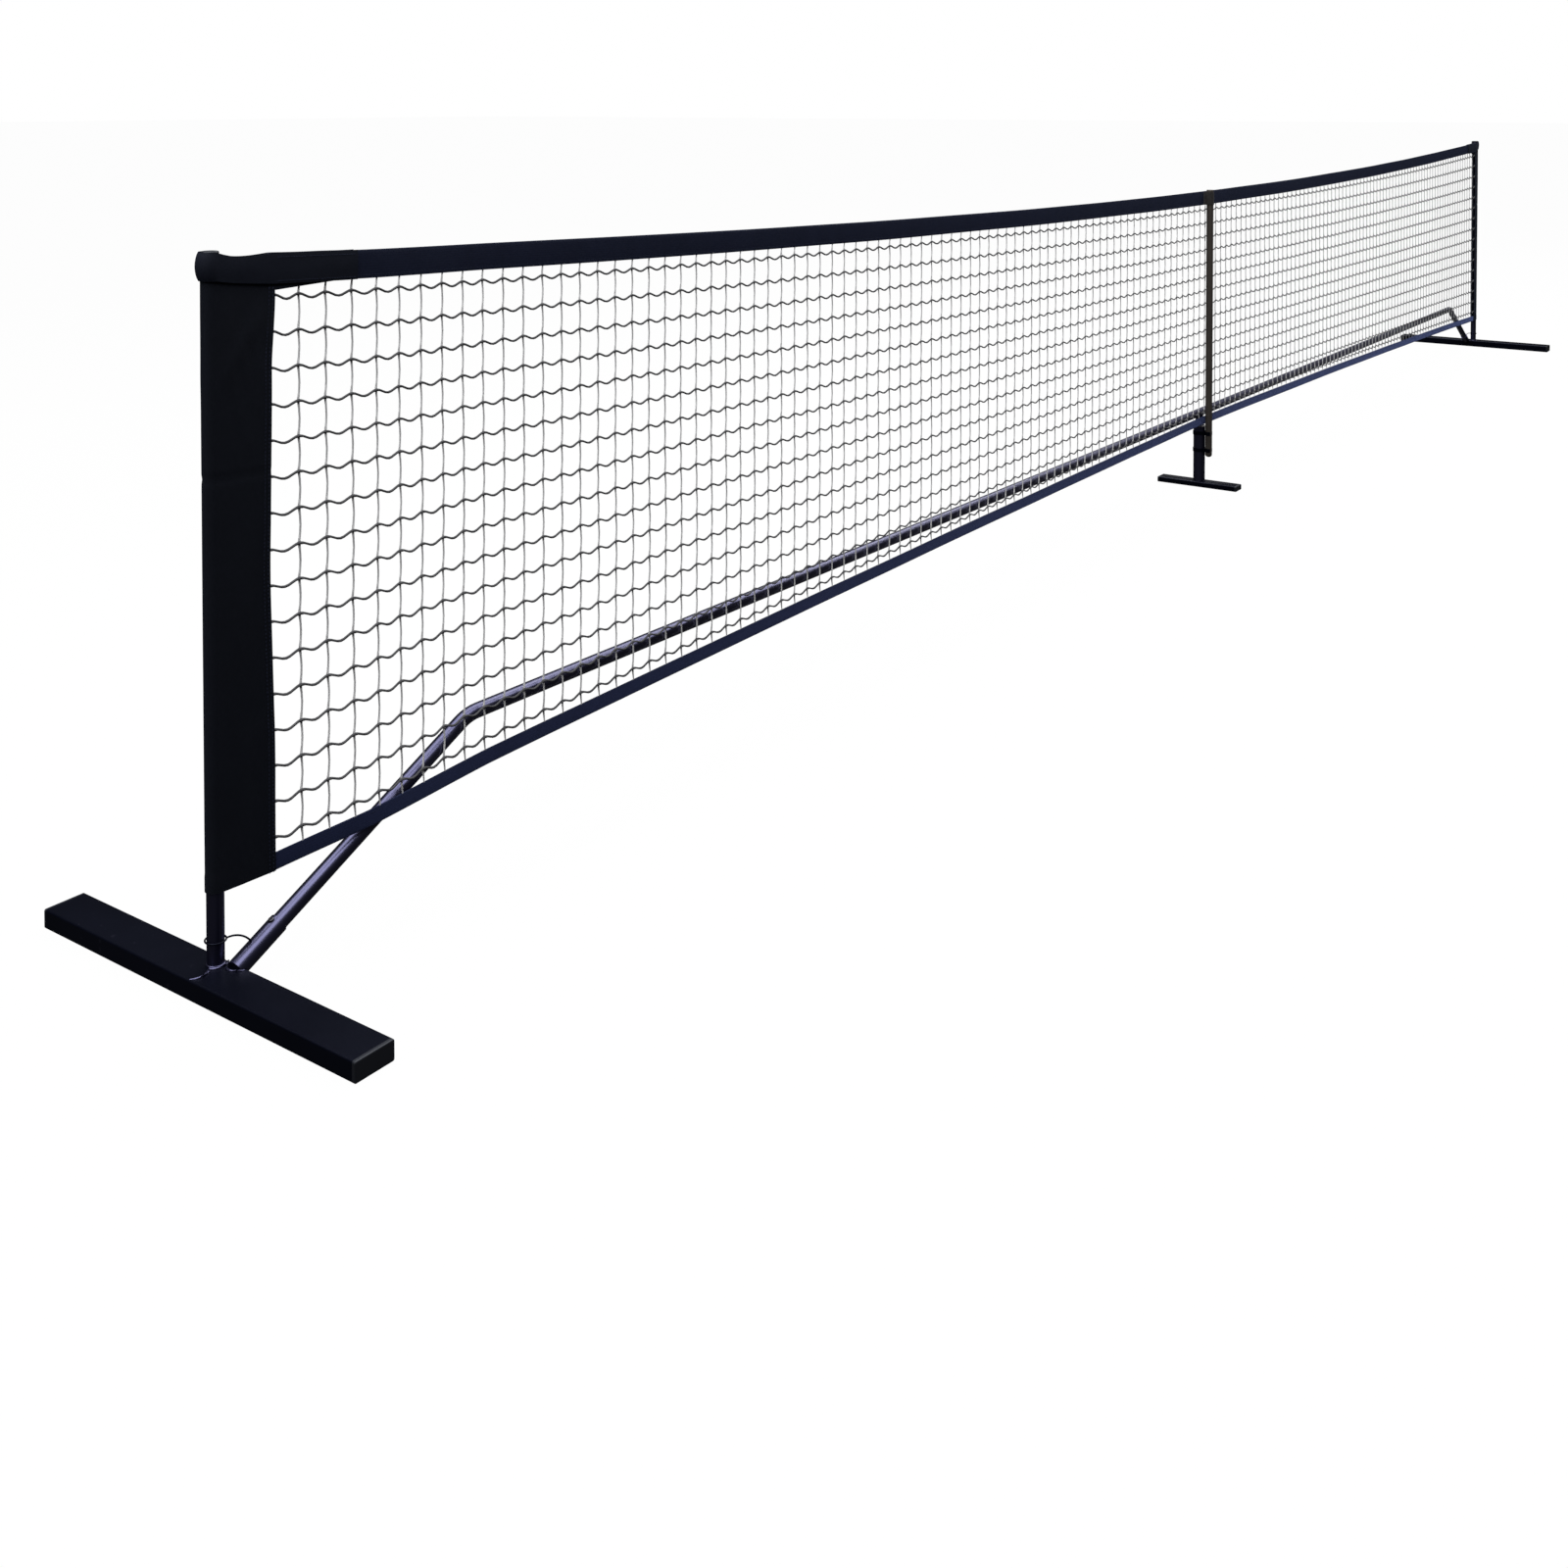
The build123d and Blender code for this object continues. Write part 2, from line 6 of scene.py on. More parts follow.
import logging
import math
from contextlib import contextmanager
from dataclasses import dataclass
from enum import Enum
from typing import Callable, Iterator, Sequence

import bpy
from mathutils import Matrix, Vector, noise


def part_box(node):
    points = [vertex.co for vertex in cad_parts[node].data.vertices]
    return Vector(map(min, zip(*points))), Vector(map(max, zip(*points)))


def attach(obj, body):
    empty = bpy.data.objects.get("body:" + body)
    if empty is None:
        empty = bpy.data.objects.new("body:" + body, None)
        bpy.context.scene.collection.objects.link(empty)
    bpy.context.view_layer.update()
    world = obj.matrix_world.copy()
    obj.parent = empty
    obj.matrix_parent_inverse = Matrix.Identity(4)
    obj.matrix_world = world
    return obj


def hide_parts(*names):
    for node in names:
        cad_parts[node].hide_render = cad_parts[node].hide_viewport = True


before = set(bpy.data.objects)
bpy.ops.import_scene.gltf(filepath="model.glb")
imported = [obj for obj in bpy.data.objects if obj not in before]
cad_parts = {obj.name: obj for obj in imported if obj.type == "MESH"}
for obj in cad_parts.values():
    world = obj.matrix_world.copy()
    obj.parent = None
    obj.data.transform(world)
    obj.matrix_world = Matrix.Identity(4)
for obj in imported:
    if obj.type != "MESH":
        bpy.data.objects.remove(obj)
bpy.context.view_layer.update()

logging.basicConfig(level=logging.INFO, format="%(message)s")
LOG = logging.getLogger("net")

Colour = tuple[float, float, float]
Place = Callable[[float, float, float], Vector]


class Slot(Enum):
    """Material slots of the record."""

    POWDER = "black_powder_coat"
    ROD = "rod_coat"
    BLACK_PLASTIC = "black_plastic"
    GREY_PLASTIC = "grey_plastic"
    BUTTON = "button_steel"
    SPRING = "spring_steel"
    NAVY = "navy_webbing"
    TWINE = "net_twine"
    SLEEVE = "sleeve_cloth"
    STRAP = "strap_cloth"
    GREY_WEBBING = "grey_webbing"


class Weave(Enum):
    """Weaves of cloth and cord, by the node group that draws them."""

    PLAIN = "weave"
    RIB = "rib"


class End(Enum):
    """The two ends of the net."""

    LEFT = -1
    RIGHT = 1

    @property
    def word(self) -> str:
        """Name used in node and piece names."""
        return self.name.lower()


# ---------------------------------------------------------------- bench
def put_down() -> None:
    """Deselect everything, in object mode."""
    if bpy.context.object is not None and bpy.context.object.mode != "OBJECT":
        bpy.ops.object.mode_set(mode="OBJECT")
    bpy.ops.object.select_all(action="DESELECT")


def pick_up(piece: bpy.types.Object) -> None:
    """Select one piece alone and make it active."""
    put_down()
    piece.select_set(True)
    bpy.context.view_layer.objects.active = piece


def claim(name: str) -> bpy.types.Object:
    """Name the new primitive and put its place into its mesh.

    Args:
        name: name of the piece and of its mesh.

    Returns:
        The piece.
    """
    piece = bpy.context.object
    piece.name = name
    piece.data.name = name
    bpy.ops.object.transform_apply(location=True, rotation=True, scale=True)
    return piece


@contextmanager
def editing(piece: bpy.types.Object) -> Iterator[None]:
    """Work on one piece in edit mode, with all of it selected.

    Args:
        piece: the piece.
    """
    pick_up(piece)
    bpy.ops.object.mode_set(mode="EDIT")
    bpy.ops.mesh.select_all(action="SELECT")
    yield
    bpy.ops.object.mode_set(mode="OBJECT")


def lay(piece: bpy.types.Object, place: Place) -> None:
    """Move every vertex to where a shaping function puts it.

    Args:
        piece: the mesh piece.
        place: takes a vertex's x, y and z and gives its new place.
    """
    for vertex in piece.data.vertices:
        vertex.co = place(*vertex.co)
    piece.data.update()


def face_out(piece: bpy.types.Object) -> None:
    """Merge doubles and turn every face outwards.

    Args:
        piece: the closed mesh piece.
    """
    with editing(piece):
        bpy.ops.mesh.remove_doubles(threshold=1e-6)
        bpy.ops.mesh.normals_make_consistent(inside=False)


def apply_modifiers(piece: bpy.types.Object) -> None:
    """Apply the piece's modifiers in order.

    Args:
        piece: the piece.
    """
    pick_up(piece)
    for modifier in list(piece.modifiers):
        bpy.ops.object.modifier_apply(modifier=modifier.name)


def repeat_piece(piece: bpy.types.Object, offset: Sequence[float], count: int, merged: bool = False) -> None:
    """Copy a piece in a straight line, each copy with its own mesh, all in the one piece.

    Args:
        piece: the piece to repeat.
        offset: from one copy to the next.
        count: how many there are.
        merged: whether touching copies are joined.
    """
    array = piece.modifiers.new("repeat", "ARRAY")
    array.use_relative_offset = False
    array.use_constant_offset = True
    array.constant_offset_displace = offset
    array.count = count
    array.use_merge_vertices = merged
    array.merge_threshold = 1e-5
    apply_modifiers(piece)


def smooth(piece: bpy.types.Object, degrees: float = 60.0) -> None:
    """Shade smooth, with edges sharper than the angle left crisp.

    Args:
        piece: the piece.
        degrees: the angle.
    """
    pick_up(piece)
    bpy.ops.object.shade_smooth_by_angle(angle=math.radians(degrees))


def make_sheet(name: str, cells: tuple[int, int], place: Place, flat: tuple[float, float], cloth: float,
               crisp: float = 60.0) -> bpy.types.Object:
    """Make a sheet of cloth: a unit grid, laid where it hangs and then thickened.

    Args:
        name: name of the piece.
        cells: faces across its u axis and along its v axis.
        place: takes u, v and 0, and gives the place.
        flat: real size along u and v, which its UV map takes so that a weave keeps its size.
        cloth: thickness of the cloth.
        crisp: angle in degrees above which an edge stays crisp.

    Returns:
        The sheet.
    """
    put_down()
    bpy.ops.mesh.primitive_grid_add(x_subdivisions=cells[0], y_subdivisions=cells[1], size=1.0,
                                    location=(0.5, 0.5, 0))
    sheet = claim(name)
    lay(sheet, place)
    for loop in sheet.data.uv_layers.active.data:
        loop.uv = (loop.uv[0] * flat[0], loop.uv[1] * flat[1])
    solidify = sheet.modifiers.new("thickness", "SOLIDIFY")
    solidify.thickness = cloth
    solidify.offset = 0.0
    solidify.use_even_offset = True
    apply_modifiers(sheet)
    smooth(sheet, crisp)
    return sheet


def dress(piece: bpy.types.Object, material: bpy.types.Material, slot: Slot, body: str,
          *replaced: str) -> bpy.types.Object:
    """Finish a new piece: material, body and the CAD nodes it stands for.

    Args:
        piece: the finished mesh.
        material: its finish.
        slot: the record's slot; not used.
        body: CAD body it moves with.
        replaced: CAD nodes that it stands for.

    Returns:
        The piece.
    """
    piece.data.materials.clear()
    piece.data.materials.append(material)
    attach(piece, body)
    if replaced:
        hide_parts(*replaced)
    LOG.info("%s: %d faces, rides %s", piece.name, len(piece.data.polygons), body)
    return piece


def wander(x: float, y: float, z: float = 0.0) -> float:
    """Smooth, repeatable unevenness from -1 to 1."""
    return noise.noise(Vector((x, y, z)))


def ease(share: float) -> float:
    """Slow start and slow end between 0 and 1."""
    return share * share * (3 - 2 * share)


def clamp(value: float) -> float:
    """Nearest number from 0 to 1."""
    return min(1.0, max(0.0, value))


# ---------------------------------------------------------------- node desk
class NodeDesk:
    """Adds and links the nodes of one tree."""

    def __init__(self, tree: bpy.types.NodeTree) -> None:
        """Keep the tree that the nodes go in."""
        self.tree = tree

    def feed(self, node: bpy.types.Node, inputs: dict) -> None:
        """Set or link a node's inputs.

        Args:
            node: the node.
            inputs: socket name or number to a value, or to the output that feeds it.
        """
        for key, value in inputs.items():
            if isinstance(value, bpy.types.NodeSocket):
                self.tree.links.new(value, node.inputs[key])
            else:
                node.inputs[key].default_value = value

    def add(self, kind: str, inputs: dict | None = None, **settings: object) -> bpy.types.Node:
        """Add a node.

        Args:
            kind: Blender's type name.
            inputs: as feed takes them.
            settings: the node's own properties.

        Returns:
            The node.
        """
        node = self.tree.nodes.new(kind)
        for key, value in settings.items():
            setattr(node, key, value)
        self.feed(node, inputs or {})
        return node

    def math(self, operation: str, first: object, second: object = 0.0) -> bpy.types.NodeSocket:
        """Output of a math node on two values or sockets."""
        return self.add("ShaderNodeMath", {0: first, 1: second}, operation=operation).outputs[0]

    def noise(self, vector: object, scale: object, detail: float = 3.0) -> bpy.types.NodeSocket:
        """Factor output of a noise texture."""
        inputs = {"Vector": vector, "Scale": scale, "Detail": detail}
        return self.add("ShaderNodeTexNoise", inputs).outputs["Fac"]

    def blend(self, factor: object, low: object, high: object) -> bpy.types.NodeSocket:
        """Colour between two colours.

        Args:
            factor: socket from 0 to 1.
            low: colour with alpha, or a socket, at 0.
            high: colour with alpha, or a socket, at 1.

        Returns:
            The colour socket.
        """
        return self.add("ShaderNodeMix", {0: factor, 6: low, 7: high}, data_type="RGBA").outputs[2]

    def spread(self, value: object, low: float, high: float) -> bpy.types.NodeSocket:
        """Map 0..1 to low..high."""
        return self.add("ShaderNodeMapRange", {0: value, 3: low, 4: high}).outputs[0]


def make_group(name: str, inputs: dict[str, tuple[str, float | None]], outputs: Sequence[str],
               fill: Callable[[NodeDesk, dict], dict]) -> bpy.types.NodeTree:
    """Build a shader node group once.

    Args:
        name: name of the group.
        inputs: socket name to its kind and default.
        outputs: names of the float outputs.
        fill: makes the inside from the input sockets, and gives the output sockets by name.

    Returns:
        The group.
    """
    tree = bpy.data.node_groups.new(name, "ShaderNodeTree")
    for label, (kind, default) in inputs.items():
        socket = tree.interface.new_socket(label, in_out="INPUT", socket_type=kind)
        if default is not None:
            socket.default_value = default
    for label in outputs:
        tree.interface.new_socket(label, in_out="OUTPUT", socket_type="NodeSocketFloat")
    desk = NodeDesk(tree)
    start = desk.add("NodeGroupInput")
    made = fill(desk, {label: start.outputs[label] for label in inputs})
    end = desk.add("NodeGroupOutput")
    for label, socket in made.items():
        tree.links.new(socket, end.inputs[label])
    return tree


def fill_grain(desk: NodeDesk, sockets: dict) -> dict:
    """Fine orange peel and slow cloudiness of a sprayed or moulded skin.

    Args:
        desk: the group's desk.
        sockets: the group's inputs by name.

    Returns:
        The group's outputs by name.
    """
    vector = sockets["Vector"]
    fine = desk.noise(vector, sockets["Peel"], 2.0)
    cloud = desk.noise(vector, 9.0, 4.0)
    scuff = desk.noise(vector, 70.0, 5.0)
    rubbed = desk.math("GREATER_THAN", scuff, 0.68)
    marks = desk.math("MULTIPLY", rubbed, desk.math("GREATER_THAN", cloud, 0.55))
    return {"Height": fine, "Cloud": cloud, "Marks": marks}


def fill_weave(desk: NodeDesk, sockets: dict) -> dict:
    """Plain weave of threads that go over and under each other.

    Args:
        desk: the group's desk.
        sockets: the group's inputs by name.

    Returns:
        The group's outputs by name.
    """
    parts = desk.add("ShaderNodeSeparateXYZ", {0: sockets["Vector"]})
    turns = desk.math("DIVIDE", math.pi, sockets["Thread"])
    warp = desk.math("SINE", desk.math("MULTIPLY", parts.outputs[0], turns))
    weft = desk.math("SINE", desk.math("MULTIPLY", parts.outputs[1], turns))
    over = desk.math("GREATER_THAN", desk.math("MULTIPLY", warp, weft), 0.0)
    one = desk.math("MULTIPLY", desk.math("ABSOLUTE", warp), over)
    other = desk.math("MULTIPLY", desk.math("ABSOLUTE", weft), desk.math("SUBTRACT", 1.0, over))
    return {"Height": desk.math("ADD", one, other), "Cloud": desk.noise(sockets["Vector"], 14.0, 5.0)}


def fill_rib(desk: NodeDesk, sockets: dict) -> dict:
    """Slanting ribs of woven webbing.

    Args:
        desk: the group's desk.
        sockets: the group's inputs by name.

    Returns:
        The group's outputs by name.
    """
    parts = desk.add("ShaderNodeSeparateXYZ", {0: sockets["Vector"]})
    turns = desk.math("DIVIDE", math.pi, sockets["Thread"])
    slant = desk.math("ADD", parts.outputs[0], desk.math("MULTIPLY", parts.outputs[1], 0.5))
    rib = desk.math("ABSOLUTE", desk.math("SINE", desk.math("MULTIPLY", slant, turns)))
    pick = desk.math("ABSOLUTE", desk.math("SINE", desk.math("MULTIPLY", parts.outputs[1], turns)))
    return {"Height": desk.math("ADD", rib, desk.math("MULTIPLY", pick, 0.4)),
            "Cloud": desk.noise(sockets["Vector"], 18.0, 5.0)}


VECTOR_INPUT = ("NodeSocketVector", None)
GROUPS = {
    "grain": make_group("sprayed_grain", {"Vector": VECTOR_INPUT, "Peel": ("NodeSocketFloat", 900.0)},
                        ("Height", "Cloud", "Marks"), fill_grain),
    "weave": make_group("plain_weave", {"Vector": VECTOR_INPUT, "Thread": ("NodeSocketFloat", 0.0009)},
                        ("Height", "Cloud"), fill_weave),
    "rib": make_group("webbing_rib", {"Vector": VECTOR_INPUT, "Thread": ("NodeSocketFloat", 0.0016)},
                      ("Height", "Cloud"), fill_rib),
}


# ---------------------------------------------------------------- finishes
def start_material(name: str) -> tuple[bpy.types.Material, NodeDesk, bpy.types.Node]:
    """Start a material.

    Args:
        name: its name.

    Returns:
        The material, the desk of its tree, and its shader.
    """
    material = bpy.data.materials.new(name)
    material.use_nodes = True
    return material, NodeDesk(material.node_tree), material.node_tree.nodes["Principled BSDF"]


@dataclass(frozen=True)
class HardFinish:
    """Sprayed, moulded or bare hard surface.

    Attributes:
        name: material name.
        dark: colour of most of it.
        light: colour of its cloudy variation.
        rough: lowest and highest roughness.
        specular: reflection strength of the skin.
        tint: colour of its reflections.
        peel: grain count per metre.
        relief: height of the grain.
        metal: metallic share.
        mark: colour of small rub marks.
        ior: index of refraction of the skin.
    """

    name: str
    dark: Colour
    light: Colour
    rough: tuple[float, float]
    specular: float = 0.4
    tint: Colour = (1.0, 1.0, 1.0)
    peel: float = 900.0
    relief: float = 0.00004
    metal: float = 0.0
    mark: Colour | None = None
    ior: float = 1.5

    def build(self) -> bpy.types.Material:
        """Make the material.

        Returns:
            The new material.
        """
        material, desk, shader = start_material(self.name)
        here = desk.add("ShaderNodeTexCoord").outputs["Object"]
        grain = desk.add("ShaderNodeGroup", node_tree=GROUPS["grain"])
        desk.feed(grain, {"Vector": here, "Peel": self.peel})
        colour = desk.blend(grain.outputs["Cloud"], (*self.dark, 1.0), (*self.light, 1.0))
        if self.mark is not None:
            colour = desk.blend(desk.math("MULTIPLY", grain.outputs["Marks"], 0.5), colour, (*self.mark, 1.0))
        bump = desk.add("ShaderNodeBump", {"Height": grain.outputs["Height"], "Distance": self.relief,
                                           "Strength": 0.6})
        rough = desk.spread(grain.outputs["Cloud"], *self.rough)
        desk.feed(shader, {"Base Color": colour, "Roughness": rough, "Normal": bump.outputs[0],
                           "Metallic": self.metal, "IOR": self.ior,
                           "Specular IOR Level": self.specular, "Specular Tint": (*self.tint, 1.0)})
        return material


@dataclass(frozen=True)
class ClothFinish:
    """Woven cloth, webbing or twine.

    Attributes:
        name: material name.
        dark: colour between threads, painted shade in the grooves of the weave.
        light: colour on top of threads.
        weave: which weave it has.
        thread: thread pitch in metres.
        relief: height of the weave.
        rough: roughness.
        sheen: weight of the soft edge glow.
        sheen_tint: colour of that glow.
        coordinate: UV for sheets, Object for twine.
    """

    name: str
    dark: Colour
    light: Colour
    weave: Weave = Weave.PLAIN
    thread: float = 0.0009
    relief: float = 0.0002
    rough: float = 0.75
    sheen: float = 0.1
    sheen_tint: Colour = (0.6, 0.65, 0.9)
    coordinate: str = "UV"

    def build(self) -> bpy.types.Material:
        """Make the material.

        Returns:
            The new material.
        """
        material, desk, shader = start_material(self.name)
        here = desk.add("ShaderNodeTexCoord").outputs[self.coordinate]
        weave = desk.add("ShaderNodeGroup", node_tree=GROUPS[self.weave.value])
        desk.feed(weave, {"Vector": here, "Thread": self.thread})
        height, cloud = weave.outputs["Height"], weave.outputs["Cloud"]
        # Painted shade: the colour goes from light on the thread tops to dark in the grooves between threads,
        # following the weave's height, times a random cloudy tone.
        share = desk.math("MULTIPLY", height, desk.spread(cloud, 0.4, 1.0))
        bump = desk.add("ShaderNodeBump", {"Height": height, "Distance": self.relief, "Strength": 0.7})
        desk.feed(shader, {"Base Color": desk.blend(share, (*self.dark, 1.0), (*self.light, 1.0)),
                           "Roughness": desk.spread(cloud, self.rough - 0.08, self.rough + 0.08),
                           "Normal": bump.outputs[0], "Specular IOR Level": 0.1, "Sheen Weight": self.sheen,
                           "Sheen Roughness": 0.4, "Sheen Tint": (*self.sheen_tint, 1.0)})
        return material


FINISHES: dict[str, HardFinish | ClothFinish] = {
    "tube": HardFinish("tube_powder_coat", (0.0012, 0.0012, 0.003), (0.0024, 0.0024, 0.006),
                       rough=(0.26, 0.38), specular=1.0, tint=(0.56, 0.56, 1.0), peel=1100.0, relief=0.00003,
                       mark=(0.012, 0.012, 0.02), ior=1.7),
    "foot": HardFinish("foot_powder_coat", (0.0007, 0.0009, 0.0026), (0.0015, 0.002, 0.0055),
                       rough=(0.3, 0.4), specular=0.16, tint=(0.6, 0.66, 1.0), relief=0.00006,
                       mark=(0.008, 0.008, 0.014)),
    "rod": HardFinish("rod_satin_coat", (0.034, 0.029, 0.026), (0.06, 0.052, 0.046), rough=(0.35, 0.5),
                      tint=(1.0, 0.97, 0.94), peel=700.0, relief=0.00003),
    "black_plastic": HardFinish("cap_moulded_plastic", (0.006, 0.007, 0.01), (0.012, 0.013, 0.018),
                                rough=(0.42, 0.55), specular=0.35, tint=(0.85, 0.9, 1.0), peel=1600.0,
                                relief=0.00005),
    "grey_plastic": HardFinish("bush_moulded_plastic", (0.42, 0.42, 0.43), (0.52, 0.52, 0.53),
                               rough=(0.4, 0.5), peel=1500.0),
    "button": HardFinish("button_bright_steel", (0.05, 0.05, 0.06), (0.09, 0.09, 0.1), rough=(0.3, 0.42),
                         specular=0.5, peel=1800.0, relief=0.00001, metal=1.0),
    "spring": HardFinish("spring_blued_steel", (0.2, 0.21, 0.24), (0.28, 0.29, 0.33), rough=(0.28, 0.4),
                         specular=0.5, peel=1600.0, relief=0.00001, metal=1.0),
    "top_tape": ClothFinish("top_tape_navy_webbing", (0.003, 0.0042, 0.011), (0.0085, 0.012, 0.032),
                            Weave.RIB, thread=0.0016, rough=0.72, sheen=0.03, sheen_tint=(0.35, 0.45, 0.9)),
    "low_tape": ClothFinish("bottom_tape_navy_webbing", (0.0045, 0.006, 0.017), (0.014, 0.019, 0.055),
                            Weave.RIB, thread=0.0016, rough=0.6, sheen=0.35, sheen_tint=(0.35, 0.45, 1.0)),
    "sleeve": ClothFinish("sleeve_black_cloth", (0.0025, 0.003, 0.006), (0.007, 0.009, 0.015), Weave.PLAIN,
                          thread=0.0008, relief=0.00018, rough=0.8, sheen=0.03, sheen_tint=(0.4, 0.5, 0.8)),
    "strap": ClothFinish("strap_black_webbing", (0.003, 0.004, 0.008), (0.009, 0.011, 0.02), Weave.RIB,
                         thread=0.0012, relief=0.00018, rough=0.7, sheen=0.03, sheen_tint=(0.4, 0.5, 0.8)),
    "grey_strap": ClothFinish("rod_loop_grey_webbing", (0.013, 0.0125, 0.013), (0.036, 0.034, 0.034),
                              Weave.RIB, thread=0.0018, relief=0.0003, sheen=0.15,
                              sheen_tint=(0.7, 0.7, 0.75)),
    "row_twine": ClothFinish("row_twine_dark", (0.03, 0.03, 0.032), (0.085, 0.085, 0.09), Weave.RIB,
                             thread=0.002, relief=0.0003, rough=0.8, sheen=0.1, sheen_tint=(0.7, 0.7, 0.75),
                             coordinate="Object"),
    "column_twine": ClothFinish("column_twine_grey", (0.46, 0.46, 0.465), (0.82, 0.82, 0.83), Weave.RIB,
                                thread=0.002, relief=0.0003, rough=0.8, sheen=0.1,
                                sheen_tint=(0.8, 0.8, 0.85), coordinate="Object"),
    "thread": ClothFinish("stitch_thread", (0.01, 0.013, 0.03), (0.03, 0.036, 0.07), Weave.RIB,
                          thread=0.0008, relief=0.0001, rough=0.6, sheen=0.1, sheen_tint=(0.5, 0.6, 0.9),
                          coordinate="Object"),
}


class FinishRack:
    """Makes each finish once and hands it out."""

    def __init__(self) -> None:
        """Start with an empty rack."""
        self.made: dict[str, bpy.types.Material] = {}

    def get(self, name: str) -> bpy.types.Material:
        """The material of a finish, built on its first use."""
        if name not in self.made:
            self.made[name] = FINISHES[name].build()
        return self.made[name]


# ---------------------------------------------------------------- net layout
@dataclass(frozen=True)
class NetLayout:
    """Where the net hangs: its ends, its plan and its two edges."""

    post_x: float = 3.353
    post_radius: float = 0.011
    seam_x: float = 3.278
    strap_end: float = 3.143
    plane_y: float = -0.014
    left_seam_y: float = -0.02032
    bulge: tuple[float, float] = (-3.1192, -0.02664)
    level_x: float = -2.8865
    centre_height: float = 0.840
    end_height: float = 0.910
    top_tape: float = 0.038
    bottom_tape: float = 0.022
    low_centre: float = 0.178
    low_end: float = 0.120
    low_bow: float = 0.007
    leans: tuple[tuple[float, float], ...] = ((0.0, 0.0), (0.27, 0.0005), (0.5, 0.005), (0.76, 0.001),
                                              (0.86, -0.0055), (0.95, -0.009))

    def plan_y(self, x: float) -> float:
        """Middle plane of the net, which bulges in front of the left leg.

        Args:
            x: place along the net.

        Returns:
            Its y there.
        """
        points = ((-self.seam_x, self.left_seam_y), self.bulge, (self.level_x, self.plane_y))
        if x <= points[0][0]:
            return self.left_seam_y
        for (x0, y0), (x1, y1) in zip(points, points[1:]):
            if x <= x1:
                share = (x - x0) / (x1 - x0)
                return y0 + (y1 - y0) * (0.75 * share + 0.25 * ease(share))
        return self.plane_y

    def top(self, x: float) -> float:
        """Height of the top edge at x."""
        return self.centre_height + (self.end_height - self.centre_height) * (x / self.post_x) ** 2

    def low(self, x: float) -> float:
        """Height of the bottom edge at x."""
        share = abs(x) / self.post_x
        straight = self.low_centre + (self.low_end - self.low_centre) * share
        return straight + 4 * self.low_bow * share * (1 - share)

    def seam_lean(self, z: float) -> float:
        """How far a sleeve's seam leans away from mid span; it is drawn in between its ends.

        Args:
            z: height.

        Returns:
            The lean there.
        """
        for (z0, lean0), (z1, lean1) in zip(self.leans, self.leans[1:]):
            if z <= z1:
                return lean0 + (lean1 - lean0) * ease((z - z0) / (z1 - z0))
        return self.leans[-1][1]

    def seam(self, end: End) -> Vector:
        """Plan point of a sleeve's seam."""
        return Vector((end.value * self.seam_x, self.plan_y(end.value * self.seam_x)))


# ---------------------------------------------------------------- stitches
THREAD_WIDTH = 0.0009
THREAD_DEPTH = 0.0007


def stitch_line(name: str, length: float, route: Place, pitch: float = 0.005) -> bpy.types.Object:
    """Make a row of stitches: one is modelled, repeated, and laid along a route.

    Args:
        name: name of the piece.
        length: length of the row.
        route: takes distance along, sideways and outwards, and gives the place.
        pitch: from one stitch to the next.

    Returns:
        The row.
    """
    put_down()
    bpy.ops.mesh.primitive_ico_sphere_add(subdivisions=1, radius=1.0)
    row = claim(name)
    with editing(row):
        bpy.ops.transform.resize(value=(pitch * 0.38, THREAD_WIDTH / 2, THREAD_DEPTH / 2))
    repeat_piece(row, (pitch, 0, 0), max(2, int(length / pitch)))
    lay(row, lambda x, y, z: route(x + pitch / 2, y, z))
    smooth(row, 40.0)
    return row


